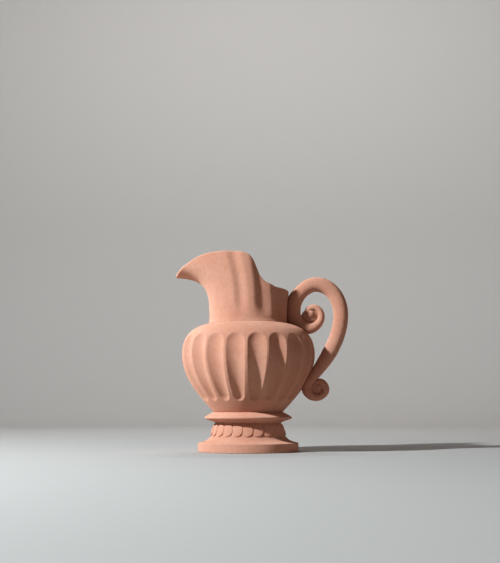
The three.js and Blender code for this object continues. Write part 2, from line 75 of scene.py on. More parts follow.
plinth_low, plinth_high = corners("foot_plinth")
axis_x = 0.5 * (plinth_low[0] + plinth_high[0])
plinth_radius = half_width("foot_plinth")
stem_foot_radius = half_width("foot_stem")
collar_radius = half_width("collar_disc")
belly_radius = half_width("belly_bowl")
seated_nodes = ("foot_stem", "collar_disc", "belly_bowl", "belly_shoulder", "spouted_neck")
seats = [corners(node)[0][2] for node in seated_nodes]
stem_z, collar_z, bowl_z, belly_z, neck_z = seats
print("axis at", round(axis_x, 2), "mm; seats at", [round(z, 1) for z in seats])

# %% [markdown]
# ## From a grid of points to a skin
# Every piece of this jug is a closed skin over a grid of points: a loop of points goes round it, and rows
# of such loops follow each other along it. Blender's primitives and modifiers could be joined to such
# shapes, but with the grid in one numpy array any formula can shape a piece, and the faces come from
# numbering the array.

# %% Closed skins
def closed_skin(rows, ring=False):
    """Points and faces of a closed skin over an array of rows of points, each row a closed loop.

    Point k of a row, the next point of the row and the two points above them make one face. In a ring the
    last row joins the first. Otherwise each end row is closed by a fan of triangles on its own middle.
    """
    count, steps = rows.shape[:2]
    number = np.arange(count * steps).reshape(count, steps)
    lower = number if ring else number[:-1]
    upper = np.roll(number, -1, axis=0)[: len(lower)]
    quads = np.stack([lower, np.roll(lower, -1, 1), np.roll(upper, -1, 1), upper], axis=-1).reshape(-1, 4)
    points = rows.reshape(-1, 3)
    if ring:
        return points, quads.tolist()
    hub = np.full(steps, len(points))
    first = np.stack([np.roll(number[0], -1), number[0], hub], axis=-1)
    last = np.stack([number[-1], np.roll(number[-1], -1), hub + 1], axis=-1)
    points = np.vstack([points, rows[[0, -1]].mean(axis=1)])
    return points, quads.tolist() + first.tolist() + last.tolist()


print("a ring of 3 rows of 8 points has", len(closed_skin(np.zeros((3, 8, 3)), ring=True)[1]), "faces")

# %% [markdown]
# ## Worn edges, and earth and painted shade in hollows
# Fired clay wears pale on its edges and keeps dark earth in its hollows. Here the dark in the hollows is also
# painted shade, for the shade that falls in creases. Blender's own Pointiness value could show where, but it
# depends on how close the points of a mesh lie, and that differs from piece to piece here. So each piece is
# measured and marked with how proud each point stands of its neighbours, and the finish reads that mark as an
# attribute.

# %% Marking what stands proud
WEAR_RADIUS = 1.2 * MM
WEAR_PASSES = 6
CORNER_ANGLE = radians(50)


def read_points(mesh, field):
    """The places or the normals of a mesh's points as one array."""
    found = np.empty(3 * len(mesh.vertices), np.float32)
    mesh.vertices.foreach_get(field, found)
    return found.reshape(-1, 3).astype(float)


def mark_proud(mesh, shade_and_earth=0.0):
    """Stores "proud" on the points: 1 on an edge as sharp as the wear radius, -1 in a crease as sharp.

    The bend along each edge of the mesh is twice its fall from the tangent plane over its length squared. A
    point takes the mean of its edges, and a few passes spread the values to the neighbours. The sharp corners
    of a seat, where two pieces meet, are left out and keep their shading apart.
    """
    points, normals = read_points(mesh, "co"), read_points(mesh, "normal")
    ends = np.empty(2 * len(mesh.edges), np.int32)
    mesh.edges.foreach_get("vertices", ends)
    a, b = ends.reshape(-1, 2).T
    step = points[b] - points[a]
    reach = np.maximum((step**2).sum(1), 1e-12)
    count = len(points)
    share = np.bincount(a, minlength=count) + np.bincount(b, minlength=count)
    fall_a = -2 * (step * normals[a]).sum(1) / reach
    fall_b = 2 * (step * normals[b]).sum(1) / reach
    bend = (np.bincount(a, fall_a, count) + np.bincount(b, fall_b, count)) / share
    proud = np.clip(2 * bend * WEAR_RADIUS, -1, 1)
    mesh.set_sharp_from_angle(angle=CORNER_ANGLE)
    sharp = np.zeros(len(mesh.edges), bool)
    if "sharp_edge" in mesh.attributes:
        mesh.attributes["sharp_edge"].data.foreach_get("value", sharp)
    proud[a[sharp]] = 0
    proud[b[sharp]] = 0
    for _ in range(WEAR_PASSES):
        around = (np.bincount(a, proud[b], count) + np.bincount(b, proud[a], count)) / share
        proud = 0.5 * (proud + around)
    # A lower mark gives the points more dark earth and painted shade in the finish.
    proud = np.clip(proud - shade_and_earth, -1, 1)
    mesh.attributes.new("proud", "FLOAT", "POINT").data.foreach_set("value", proud.astype(np.float32))


print("wear is full on an edge with a radius of", WEAR_RADIUS / MM, "mm")

# %% [markdown]
# ## From a skin to a piece of the jug
# Each piece of the lesson stands in for one piece of the frame, in the same place. Its points are worked
# out in millimetres round the vessel's axis, so its mesh holds them moved to the axis and scaled to metres,
# and its object stays at the origin.

# %% Pieces in the scene
def clay_mesh(name, points, faces):
    """A mesh from points in millimetres round the vessel's axis."""
    mesh = bpy.data.meshes.new(name)
    mesh.from_pydata(((points + [axis_x, 0, 0]) * MM).tolist(), [], faces)
    mesh.shade_smooth()
    return mesh


def place_piece(name, mesh, finishes, *nodes, shade_and_earth=0.0):
    """Puts a mesh into the scene as a piece that stands in for nodes of the frame.

    The value for soil and shade, one for the piece or one for each point, lowers the proud mark, which
    darkens those points with dark soil and painted shade.
    """
    mark_proud(mesh, shade_and_earth)
    for finish in finishes:
        mesh.materials.append(finish)
    piece = bpy.data.objects.new(name, mesh)
    bpy.context.scene.collection.objects.link(piece)
    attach(piece, "root")
    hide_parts(*nodes)


frame_pieces = [thing.name for thing in bpy.context.scene.objects if thing.type == "MESH"]
print(len(frame_pieces), "pieces of the frame are to be replaced")

# %% [markdown]
# ## Building with shader nodes
# A finish is a network of shader nodes, and the same few steps return in it: a noise, a ramp, a mix of two
# colours. The node editor is one way to draw it. Here each step is a short function, so that a network
# reads like a recipe. The patterns work on Object coordinates, which are metres here, so a scale of 1000
# gives marks of about a millimetre.

# %% Node helpers
def new_group(name, inputs, outputs):
    """An empty node group with named sockets: inputs as (name, kind, value) and outputs as (name, kind)."""
    group = bpy.data.node_groups.new(name, "ShaderNodeTree")
    for label, kind, value in inputs:
        socket = group.interface.new_socket(label, in_out="INPUT", socket_type=kind)
        if value is not None:
            socket.default_value = value
    for label, kind in outputs:
        group.interface.new_socket(label, in_out="OUTPUT", socket_type=kind)
    return group, group.nodes.new("NodeGroupInput"), group.nodes.new("NodeGroupOutput")


def add(tree, kind, values=(), **settings):
    """A node with settings and input values, where an input is given by its name or number."""
    node = tree.nodes.new(kind)
    for key, value in settings.items():
        setattr(node, key, value)
    for key, value in dict(values).items():
        node.inputs[key].default_value = value
    return node


def math_node(tree, operation, first, second):
    """A Math node; each of its two terms is a socket or a number."""
    node = tree.nodes.new("ShaderNodeMath")
    node.operation = operation
    for place, term in enumerate((first, second)):
        if isinstance(term, bpy.types.NodeSocket):
            tree.links.new(term, node.inputs[place])
        else:
            node.inputs[place].default_value = term
    return node.outputs[0]


def mix_colours(tree, share, first, second):
    """A colour mix; the share is a socket and so are the colours."""
    node = add(tree, "ShaderNodeMix", data_type="RGBA")
    for place, socket in ((0, share), (6, first), (7, second)):
        tree.links.new(socket, node.inputs[place])
    return node.outputs[2]


def ramp(tree, socket, low, high, to_low=0.0, to_high=1.0):
    """A smooth rise from to_low to to_high while the socket goes from low to high."""
    values = {"From Min": low, "From Max": high, "To Min": to_low, "To Max": to_high}
    node = add(tree, "ShaderNodeMapRange", values, interpolation_type="SMOOTHSTEP")
    tree.links.new(socket, node.inputs["Value"])
    return node.outputs["Result"]


def noise(tree, place, scale, detail, roughness=0.5):
    """A cloudy value about 0.5, with as many lumps to the metre as the scale says."""
    node = add(tree, "ShaderNodeTexNoise", {"Scale": scale, "Detail": detail, "Roughness": roughness})
    tree.links.new(place, node.inputs["Vector"])
    return node.outputs["Fac"]


def grains(tree, place, scale, size):
    """A mask of separate round grains: high within the size of each cell's middle."""
    node = add(tree, "ShaderNodeTexVoronoi", {"Scale": scale})
    tree.links.new(place, node.inputs["Vector"])
    return ramp(tree, node.outputs["Distance"], size, 0.4 * size)


# %% [markdown]
# ## The clay's marks
# Fired earthenware is matt and never one colour: the kiln leaves paler and darker clouds, grains of grog
# show as fine specks, and edges that are handled turn pale. Photographs could be wrapped round the jug for
# that, but they blur close up. Each of these effects is a node group of its own instead, so a finish is put
# together from them and the same effect looks the same on every piece.

# %% Node groups for fired clay
def build_kiln_tone():
    """Kiln clouds, fine mottling and specks of grog between three tones of the clay."""
    tree, given, out = new_group(
        "kiln_tone",
        [("Place", "NodeSocketVector", None), ("Clay", "NodeSocketColor", None),
         ("Pale", "NodeSocketColor", None), ("Deep", "NodeSocketColor", None)],
        [("Color", "NodeSocketColor"), ("Dryness", "NodeSocketFloat")],
    )
    place = given.outputs["Place"]
    clouds = ramp(tree, noise(tree, place, 16, 3), 0.35, 0.68, 0.0, 0.45)
    mottle = ramp(tree, noise(tree, place, 210, 4, 0.6), 0.42, 0.72, 0.0, 0.22)
    grog = math_node(tree, "MULTIPLY", grains(tree, place, 950, 0.26), 0.5)
    iron = math_node(tree, "MULTIPLY", grains(tree, place, 520, 0.13), 0.7)
    colour = mix_colours(tree, clouds, given.outputs["Clay"], given.outputs["Pale"])
    colour = mix_colours(tree, mottle, colour, given.outputs["Deep"])
    colour = mix_colours(tree, grog, colour, given.outputs["Pale"])
    colour = mix_colours(tree, iron, colour, given.outputs["Deep"])
    tree.links.new(colour, out.inputs["Color"])
    tree.links.new(ramp(tree, noise(tree, place, 90, 3), 0.3, 0.7, 0.8, 0.96), out.inputs["Dryness"])
    return tree


def build_sandy_grain():
    """Height of a sandy skin: fine grit, a slight unevenness of the hand, and open pores."""
    tree, given, out = new_group(
        "sandy_grain", [("Place", "NodeSocketVector", None)], [("Height", "NodeSocketFloat")]
    )
    place = given.outputs["Place"]
    grit = math_node(tree, "MULTIPLY", noise(tree, place, 1500, 3, 0.6), 0.5)
    hand = math_node(tree, "MULTIPLY", noise(tree, place, 120, 2), 0.9)
    pores = math_node(tree, "MULTIPLY", grains(tree, place, 420, 0.16), 0.45)
    height = math_node(tree, "SUBTRACT", math_node(tree, "ADD", grit, hand), pores)
    tree.links.new(height, out.inputs["Height"])
    return tree


def build_turning_lines():
    """Height of the fine level lines that a rib or a sponge leaves on a turning pot."""
    tree, given, out = new_group(
        "turning_lines", [("Place", "NodeSocketVector", None)], [("Height", "NodeSocketFloat")]
    )
    stretched = add(tree, "ShaderNodeMapping", {"Scale": (5, 5, 520)})
    tree.links.new(given.outputs["Place"], stretched.inputs["Vector"])
    tree.links.new(noise(tree, stretched.outputs["Vector"], 1, 2), out.inputs["Height"])
    return tree


def build_wear_and_crease_shade():
    """Pale wear on proud edges, and in hollows dark soil with painted shade, broken up so that neither is an
    even line.
    """
    tree, given, out = new_group(
        "wear_and_crease_shade",
        [("Place", "NodeSocketVector", None), ("Proud", "NodeSocketFloat", 0.0),
         ("Color", "NodeSocketColor", None), ("Worn", "NodeSocketColor", None),
         ("Earth_shade", "NodeSocketColor", None)],
        [("Color", "NodeSocketColor")],
    )
    broken = ramp(tree, noise(tree, given.outputs["Place"], 260, 3, 0.6), 0.3, 0.7, 0.35, 1.0)
    proud = given.outputs["Proud"]
    wear = math_node(tree, "MULTIPLY", ramp(tree, proud, 0.12, 0.6, 0.0, 0.4), broken)
    # Painted shade, with dark earth, in the hollows where the surface bends in.
    hollow_shade_and_earth = math_node(tree, "MULTIPLY", ramp(tree, proud, -0.1, -0.6, 0.0, 0.6), broken)
    colour = mix_colours(tree, wear, given.outputs["Color"], given.outputs["Worn"])
    colour = mix_colours(tree, hollow_shade_and_earth, colour, given.outputs["Earth_shade"])
    tree.links.new(colour, out.inputs["Color"])
    return tree


kiln_tone = build_kiln_tone()
sandy_grain = build_sandy_grain()
turning_lines = build_turning_lines()
wear_and_crease_shade = build_wear_and_crease_shade()
print("node groups:", [group.name for group in (kiln_tone, sandy_grain, turning_lines, wear_and_crease_shade)])

# %% [markdown]
# ## Four finishes from the same clay
# One material for all pieces would do, but the same clay looks a little different with each way of working
# it. Turned pieces keep faint level lines, the pressed scales and the rolled handle have none, and the
# inside, which no sponge reaches, is rougher and deeper in tone. The shader itself stays in the material: a
# Principled BSDF with a rough, weakly shining surface.

# %% The finishes
CLAY = (0.59, 0.322, 0.232, 1)
PALE = (0.66, 0.41, 0.315, 1)
DEEP = (0.47, 0.205, 0.125, 1)
WORN = (0.70, 0.43, 0.33, 1)
# Dark earth in hollows, which is also painted shade in the creases.
EARTH_AND_SHADE = (0.33, 0.14, 0.085, 1)
INSIDE_CLAY = (0.52, 0.27, 0.185, 1)


def clay_finish(name, clay, line_height, grain_height):
    """A fired clay finish; the heights are the depth of its turning lines and grain in millimetres."""
    finish = bpy.data.materials.new(name)
    finish.use_nodes = True
    tree = finish.node_tree
    shader = tree.nodes["Principled BSDF"]
    shader.inputs["Specular IOR Level"].default_value = 0.25
    shader.inputs["Diffuse Roughness"].default_value = 0.7
    place = add(tree, "ShaderNodeTexCoord").outputs["Object"]
    proud = add(tree, "ShaderNodeAttribute", attribute_name="proud").outputs["Fac"]
    tone = add(tree, "ShaderNodeGroup", node_tree=kiln_tone)
    tone.inputs["Clay"].default_value = clay
    tone.inputs["Pale"].default_value = PALE
    tone.inputs["Deep"].default_value = DEEP
    edges = add(tree, "ShaderNodeGroup", node_tree=wear_and_crease_shade)
    edges.inputs["Worn"].default_value = WORN
    edges.inputs["Earth_shade"].default_value = EARTH_AND_SHADE
    grain = add(tree, "ShaderNodeGroup", node_tree=sandy_grain)
    lines = add(tree, "ShaderNodeGroup", node_tree=turning_lines)
    for node in (tone, edges, grain, lines):
        tree.links.new(place, node.inputs["Place"])
    tree.links.new(proud, edges.inputs["Proud"])
    tree.links.new(tone.outputs["Color"], edges.inputs["Color"])
    tree.links.new(edges.outputs["Color"], shader.inputs["Base Color"])
    tree.links.new(tone.outputs["Dryness"], shader.inputs["Roughness"])
    gritty = math_node(tree, "MULTIPLY", grain.outputs["Height"], grain_height)
    lined = math_node(tree, "MULTIPLY", lines.outputs["Height"], line_height)
    bump = add(tree, "ShaderNodeBump", {"Strength": 1.0, "Distance": MM})
    tree.links.new(math_node(tree, "ADD", gritty, lined), bump.inputs["Height"])
    tree.links.new(bump.outputs["Normal"], shader.inputs["Normal"])
    return finish


turned_clay = clay_finish("turned_clay", CLAY, 0.10, 0.16)
pressed_clay = clay_finish("pressed_clay", CLAY, 0.0, 0.24)
rolled_clay = clay_finish("rolled_clay", CLAY, 0.0, 0.16)
inside_clay = clay_finish("inside_clay", INSIDE_CLAY, 0.14, 0.26)
print("finishes:", [finish.name for finish in (turned_clay, pressed_clay, rolled_clay, inside_clay)])

# %% [markdown]
# ## Turning an outline
# A lathe shape is an outline carried round an axis. Blender's Screw modifier could do that, but with the
# points in an array, flutes can be taken off them later. An outline here is a short list of points, with a
# cubic curve where it bends. A potter softens every corner with a wet finger, and here each corner becomes
# a short curve.

# %% Outlines
def bend_curve(points, shares):
    """A cubic curve: four points, weighted (1-t)^3, 3t(1-t)^2, 3t^2(1-t) and t^3 at each share t."""
    t = np.asarray(shares)[:, None]
    p = np.array(points, float)
    return (1 - t) ** 3 * p[0] + 3 * t * (1 - t) ** 2 * p[1] + 3 * t**2 * (1 - t) * p[2] + t**3 * p[3]


def soften(outline, rounding, steps=5):
    """A closed outline with each corner drawn as a curve from one side to the other.

    The curve starts and ends at the rounding from the corner, but at most at 0.45 of that side.
    """
    corner = np.array(outline, float)

    def along(other):
        side = other - corner
        length = np.linalg.norm(side, axis=1, keepdims=True)
        return corner + side / length * np.minimum(rounding, 0.45 * length)

    start, end = along(np.roll(corner, 1, 0)), along(np.roll(corner, -1, 0))
    t = np.linspace(0, 1, steps)[None, :, None]
    curves = (1 - t) ** 2 * start[:, None] + 2 * t * (1 - t) * corner[:, None] + t**2 * end[:, None]
    return curves.reshape(-1, 2)


def carried_round(radius, height, angle):
    """Rows of points round the axis: x = r cos a and y = r sin a, each row at its own height."""
    x = radius * np.cos(angle)
    y = radius * np.sin(angle)
    return np.stack([x, y, height + 0 * x], axis=-1)


TURNED_STEPS = 288


def turned_rows(outline, steps=TURNED_STEPS):
    """An outline of (radius, height) points carried round the axis in even steps."""
    angle = np.arange(steps) * 2 * pi / steps
    return carried_round(outline[:, :1], outline[:, 1:], angle)


print("a square with soft corners has", len(soften([(0, 0), (9, 0), (9, 9), (0, 9)], 1)), "outline points")

# %% [markdown]
# ## The turned foot
# The foot is made of three turned rings: a plinth with a cove, a tapering stem, and a collar with a sharp
# edge. The rings are hollow, because thick clay cracks in the kiln. Each ring is one small outline, with a
# curve for its cove, so a change of one measure moves all that hangs on it.

# %% Plinth, stem and collar
SEAT_LEDGE = 1.2
FOOT_WALL = 11
PLINTH_EDGE_HEIGHT = 13
STEM_TOP_RADIUS = 48.5
BOWL_FOOT_RADIUS = 50.7
COLLAR_BORE = 30
COVE_STEPS = 12
PLINTH_ROUNDING, STEM_ROUNDING, COLLAR_ROUNDING = 1.4, 0.4, 0.9
COLLAR_LOWER_BEVEL, COLLAR_UPPER_BEVEL, COLLAR_BEVEL_HEIGHT = 0.7, 0.9, 1.5
# Shares of a cove's width and height at the two points that steer its curve
PLINTH_COVE = ((0.55, 0.1), (0.15, 0.45))
COLLAR_COVE = ((0.15, 0.2), (0.6, 0.25))

stem_bore = stem_foot_radius - FOOT_WALL
shelf = stem_foot_radius + SEAT_LEDGE
cove_width = plinth_radius - shelf
cove_rise = stem_z - PLINTH_EDGE_HEIGHT
plinth_cove = bend_curve(
    [(plinth_radius, PLINTH_EDGE_HEIGHT),
     *((shelf + out * cove_width, PLINTH_EDGE_HEIGHT + up * cove_rise) for out, up in PLINTH_COVE),
     (shelf, stem_z)],
    np.linspace(0, 1, COVE_STEPS),
)
plinth_outline = soften(
    [(stem_bore, 0), (plinth_radius, 0), *plinth_cove, (stem_bore, stem_z)], PLINTH_ROUNDING)
stem_outline = soften(
    [(stem_bore, stem_z), (stem_foot_radius, stem_z), (STEM_TOP_RADIUS, collar_z),
     (STEM_TOP_RADIUS - FOOT_WALL, collar_z)], STEM_ROUNDING)

collar_height = bowl_z - collar_z
edge_z = collar_z + 0.5 * collar_height
collar_width = collar_radius - STEM_TOP_RADIUS
collar_cove = bend_curve(
    [(STEM_TOP_RADIUS, collar_z),
     *((STEM_TOP_RADIUS + out * collar_width, collar_z + up * collar_height) for out, up in COLLAR_COVE),
     (collar_radius - COLLAR_LOWER_BEVEL, edge_z - COLLAR_BEVEL_HEIGHT)],
    np.linspace(0, 1, COVE_STEPS),
)
collar_outline = soften(
    [(COLLAR_BORE, collar_z), *collar_cove, (collar_radius, edge_z),
     (collar_radius - COLLAR_UPPER_BEVEL, edge_z + COLLAR_BEVEL_HEIGHT),
     (BOWL_FOOT_RADIUS + SEAT_LEDGE, bowl_z), (COLLAR_BORE, bowl_z)], COLLAR_ROUNDING)

for name, outline, node in (
    ("turned_plinth", plinth_outline, "foot_plinth"),
    ("turned_stem", stem_outline, "foot_stem"),
    ("sharp_collar", collar_outline, "collar_disc"),
):
    ring_mesh = clay_mesh(name, *closed_skin(turned_rows(outline), ring=True))
    place_piece(name, ring_mesh, [turned_clay], node)
    print(name, "with", len(outline), "outline points and", len(ring_mesh.polygons), "faces")

# %% [markdown]
# ## The ring of scales
# Round lozenges of clay are pressed on to the stem like fish scales, each one lying over its neighbour. A
# scale is flat with a rounded edge, thin on the side that is covered and proud on the other, where it
# throws a small crescent of shadow. A flattened sphere would be too round for that. So one scale is a
# surface of two parameters, a bearing and a distance from its middle, bent round the cone of the stem, and
# the others are the same scale at other angles.

# %% Scales
SCALE_COUNT = 22
SCALE_MARGIN = 1.0
SCALE_THIN = 0.7
SCALE_THICK = 2.5
SCALE_SUNK = 0.8
SCALE_DOME = 0.25
SCALE_STEPS = 56
SCALE_ROWS = 18
# Where the painted shade in the crevice round a scale starts, as a share of its radius, and over what share
# it grows.
CREVICE_SHADE_START, CREVICE_SHADE_WIDTH = 0.965, 0.03

stem_height = collar_z - stem_z
scale_radius = 0.5 * stem_height - SCALE_MARGIN
scale_middle = 0.5 * (stem_foot_radius + STEM_TOP_RADIUS)
stem_slope = (STEM_TOP_RADIUS - stem_foot_radius) / stem_height
# Two rows behind a scale, and then rows from its edge to near its middle, closest together at the edge
face_share = 1 - 0.985 * np.linspace(0, 1, SCALE_ROWS) ** 2
scale_share = np.concatenate([[0.4, 1.0], face_share])[:, None]


def scale_rows(turn):
    """A scale at an angle round the stem.

    Its face stands out by the thickness, which grows from the covered side to the proud one, times
    (1 - d^8)^(1/3) at the share d of its radius: flat, with a rounded edge. A slight dome, 1 - d^2, is added.
    The rows behind it are sunk in the stem.
    """
    bearing = np.arange(SCALE_STEPS) * 2 * pi / SCALE_STEPS
    across = scale_radius * scale_share * np.cos(bearing)
    up = scale_radius * scale_share * np.sin(bearing)
    thickness = SCALE_THIN + (SCALE_THICK - SCALE_THIN) * (0.5 + 0.5 * across / scale_radius)
    out = thickness * (1 - scale_share**8) ** (1 / 3) + SCALE_DOME * (1 - scale_share**2)
    out[:2] = -SCALE_SUNK
    radius = scale_middle + stem_slope * up + out
    angle = turn + across / scale_middle
    height = stem_z + 0.5 * stem_height + up
    return np.stack([radius * np.cos(angle), radius * np.sin(angle), height], axis=-1)


scale_pitch = 2 * pi / SCALE_COUNT
# Painted shade, with dark earth, fills the crevice round the edge of each scale, and the two points that
# close the skin have none
crevice_shade = np.clip((scale_share[:, 0] - CREVICE_SHADE_START) / CREVICE_SHADE_WIDTH, 0, 1)
scale_shade_and_earth = np.concatenate([np.repeat(crevice_shade, SCALE_STEPS), [0, 0]])
for number in range(1, SCALE_COUNT + 1):
    name = f"scale_{number:02d}"
    scale_mesh = clay_mesh(name, *closed_skin(scale_rows(scale_pitch * (number - 0.5))))
    place_piece(name, scale_mesh, [pressed_clay], f"foot_scale_{number:02d}", shade_and_earth=scale_shade_and_earth)
print(SCALE_COUNT, "scales of radius", round(scale_radius, 1), "mm")

# %% [markdown]
# ## The flutes
# While the clay is firm, flutes are scooped down the belly with a loop of wire: each is a shallow round
# hollow with round ends, and a narrow land is left between two of them. A boolean cut could do that, but a
# formula of the angle and the height gives the same hollow with clean faces. The crisp edge is real shape,
# and the points are set closer together at the lands, where the surface bends most.

# %% Depth of the flutes
FLUTE_COUNT = 20
FLUTE_DEPTH = 6
FLUTE_LAND = 3.6
FLUTE_FOOT_LAND = 6.5
FLUTE_FOOT_RISE, FLUTE_FOOT_CAP = 16, 8
FLUTE_TOP_DROP, FLUTE_TOP_CAP = 18.5, 13
FLUTE_EDGE = 0.035
FLUTE_STEPS = 30
FLUTE_CROWDING = 0.6
flute_pitch = 2 * pi / FLUTE_COUNT
flute_foot, flute_top = bowl_z + FLUTE_FOOT_RISE, neck_z - FLUTE_TOP_DROP


def ease(low, high, x):
    """A smooth step from 0 at low to 1 at high: t^2 (3 - 2t)."""
    t = np.clip((x - low) / (high - low), 0, 1)
    return t * t * (3 - 2 * t)


def flute_hollow(angle, radius, height):
    """Depth of the flutes: one minus the squares of how far a point is across the flute and past its ends.

    What is left above zero is the hollow, and the edge keeps a slight roundness. It is shallower where the
    vessel is narrower, and a land is in line with the handle.
    """
    land = FLUTE_FOOT_LAND + (FLUTE_LAND - FLUTE_FOOT_LAND) * ease(bowl_z, belly_z, height)
    half = 0.5 * (flute_pitch - land / radius)
    across = angle % flute_pitch - 0.5 * flute_pitch
    past_top = (height - flute_top + FLUTE_TOP_CAP) / FLUTE_TOP_CAP
    past_foot = (flute_foot + FLUTE_FOOT_CAP - height) / FLUTE_FOOT_CAP
    past = np.maximum(0, np.maximum(past_top, past_foot))
    inside = 1 - (across / half) ** 2 - past**2
    return FLUTE_DEPTH * radius / belly_radius * 0.5 * (inside + np.hypot(inside, FLUTE_EDGE))


pitch_share = np.arange(FLUTE_STEPS) / FLUTE_STEPS
pitch_share = pitch_share - FLUTE_CROWDING * np.sin(2 * pi * pitch_share) / (2 * pi)
belly_angle = ((np.arange(FLUTE_COUNT)[:, None] + pitch_share) * flute_pitch).ravel()
flute_ends = [round(flute_foot, 1), round(flute_top, 1)]
print(FLUTE_COUNT, "flutes between the heights", flute_ends, "mm, on", len(belly_angle), "points round")

# %% [markdown]
# ## The belly
# The belly is thrown as a bowl and a shoulder that are joined at the widest line. Each is one curve carried
# round, fluted outside and plain inside. A Solidify modifier would press the flutes through to the inside,
# so the inside is the plain curve moved in by the wall. It has the finger grooves that throwing leaves,
# because the mouth is wide enough to look in.

# %% Bowl and shoulder
NECK_RADIUS = 58
NECK_WALL = 6
BELLY_WALL = 7
BOWL_FLOOR = 10
BOWL_ROWS, BOWL_WALL_ROWS, FLOOR_ROWS = 104, 44, 9
SHOULDER_ROWS, SHOULDER_WALL_ROWS = 78, 30
GROOVE_DEPTH, GROOVE_PITCH = 0.35, 6.5
# Shares of width and height at the points that steer the curves of the belly
BOWL_SWELL, SHOULDER_SWELL, BELLY_UPRIGHT = (0.53, 0.31), (0.58, 0.9), 0.63
# Shares of the way up the bowl and the shoulder between which the inner wall follows them
BOWL_WALL_FOOT, SHOULDER_WALL_TOP = 0.14, 0.9
# The cove between wall and floor: how far in from the foot of the wall, and how high above the floor
FLOOR_COVE, FLOOR_COVE_RISE = ((1.2, 0.8), (2.5, 0), (6, 0)), 3
FLOOR_MARGIN, FLOOR_MIDDLE = 9, 4
BORE_STEP, BORE_MARGIN = 2, 1

ridge_wall = BELLY_WALL + FLUTE_DEPTH
bowl_spread, bowl_height = belly_radius - BOWL_FOOT_RADIUS, belly_z - bowl_z
shoulder_spread, shoulder_height = belly_radius - NECK_RADIUS, neck_z - belly_z
bowl_profile = [
    (BOWL_FOOT_RADIUS, bowl_z),
    (BOWL_FOOT_RADIUS + BOWL_SWELL[0] * bowl_spread, bowl_z + BOWL_SWELL[1] * bowl_height),
    (belly_radius, bowl_z + BELLY_UPRIGHT * bowl_height),
    (belly_radius, belly_z),
]
shoulder_profile = [
    (belly_radius, belly_z),
    (belly_radius, belly_z + BELLY_UPRIGHT * shoulder_height),
    (NECK_RADIUS + SHOULDER_SWELL[0] * shoulder_spread, belly_z + SHOULDER_SWELL[1] * shoulder_height),
    (NECK_RADIUS + SEAT_LEDGE, neck_z),
]


def fluted_rows(outline):
    """The outline carried round the axis, less the depth of the flutes."""
    radius, height = outline[:, :1], outline[:, 1:]
    return carried_round(radius - flute_hollow(belly_angle, radius, height), height, belly_angle)


def plain_rows(outline):
    """The outline carried round the axis at the same angles, without flutes."""
    return carried_round(outline[:, :1], outline[:, 1:], belly_angle)


def moved_in(profile, shares, wall):
    """A profile moved in square to itself by a wall, with the finger grooves that throwing leaves."""
    points = bend_curve(profile, shares)
    fine_shares = np.linspace(0, 1, 201)
    fine_heading = np.gradient(bend_curve(profile, fine_shares), axis=0)
    heading = np.stack([np.interp(shares, fine_shares, fine_heading[:, k]) for k in (0, 1)], axis=-1)
    heading /= np.linalg.norm(heading, axis=1, keepdims=True)
    groove = GROOVE_DEPTH * np.sin(points[:, 1] * 2 * pi / GROOVE_PITCH) * np.sin(pi * shares) ** 0.5
    inward = np.stack([-heading[:, 1], heading[:, 0]], axis=-1)
    return points + inward * (np.asarray(wall) + groove)[:, None]


bowl_outside = fluted_rows(bend_curve(bowl_profile, np.linspace(0, 1, BOWL_ROWS)))
floor_z = bowl_z + BOWL_FLOOR
bowl_wall = moved_in(bowl_profile, np.linspace(1, BOWL_WALL_FOOT, BOWL_WALL_ROWS), ridge_wall)
bowl_wall = bowl_wall[bowl_wall[:, 1] > floor_z + FLOOR_COVE_RISE]
wall_foot = bowl_wall[-1]
cove_points = [(wall_foot[0] - inward, floor_z + rise) for inward, rise in FLOOR_COVE]
floor_bend = bend_curve([wall_foot, *cove_points], np.linspace(0.15, 1, 7))
floor_radii = np.linspace(wall_foot[0] - FLOOR_MARGIN, FLOOR_MIDDLE, FLOOR_ROWS)
floor_rings = np.stack([floor_radii, np.full(FLOOR_ROWS, floor_z)], axis=-1)
bowl_inside = plain_rows(np.vstack([bowl_wall, floor_bend, floor_rings]))

shoulder_outside = fluted_rows(bend_curve(shoulder_profile, np.linspace(0, 1, SHOULDER_ROWS)))
neck_bore = NECK_RADIUS - NECK_WALL
shoulder_shares = np.linspace(SHOULDER_WALL_TOP, 0, SHOULDER_WALL_ROWS)
shoulder_thickness = ridge_wall + (BELLY_WALL - ridge_wall) * shoulder_shares
shoulder_wall = moved_in(shoulder_profile, shoulder_shares, shoulder_thickness)
shoulder_wall = shoulder_wall[shoulder_wall[:, 0] > neck_bore + BORE_MARGIN]
bore_heights = np.array([neck_z, neck_z - BORE_STEP, shoulder_wall[0, 1] + BORE_MARGIN])
shoulder_bore = np.stack([np.full(len(bore_heights), neck_bore), bore_heights], axis=-1)
shoulder_inside = plain_rows(np.vstack([shoulder_bore, shoulder_wall]))


def finish_inside(mesh, first_row, steps, rows):
    """Gives the faces of the rows from the first one on the second finish, the inside one."""
    index = np.zeros(len(mesh.polygons), np.int32)
    index[first_row * steps : rows * steps] = 1
    mesh.polygons.foreach_set("material_index", index)


for name, outside, inside, ring, node in (
    ("fluted_bowl", bowl_outside, bowl_inside, False, "belly_bowl"),
    ("fluted_shoulder", shoulder_outside, shoulder_inside, True, "belly_shoulder"),
):
    rows = np.concatenate([outside, inside])
    belly_mesh = clay_mesh(name, *closed_skin(rows, ring))
    finish_inside(belly_mesh, len(outside) - 1, len(belly_angle), len(rows))
    place_piece(name, belly_mesh, [turned_clay, inside_clay], node)
    print(name, "with", len(belly_mesh.polygons), "faces")

# %% [markdown]
# ## Rim and folds of the neck
# The neck starts as a thrown cylinder. Its wall is pressed in to soft folds, the rim is cut low towards the
# handle, and the front is pulled far out into a beak. A sculpt brush could do that by hand. A formula for
# the rim and another one for the folds keep both sides alike, and each feature has a number that can be
# changed.

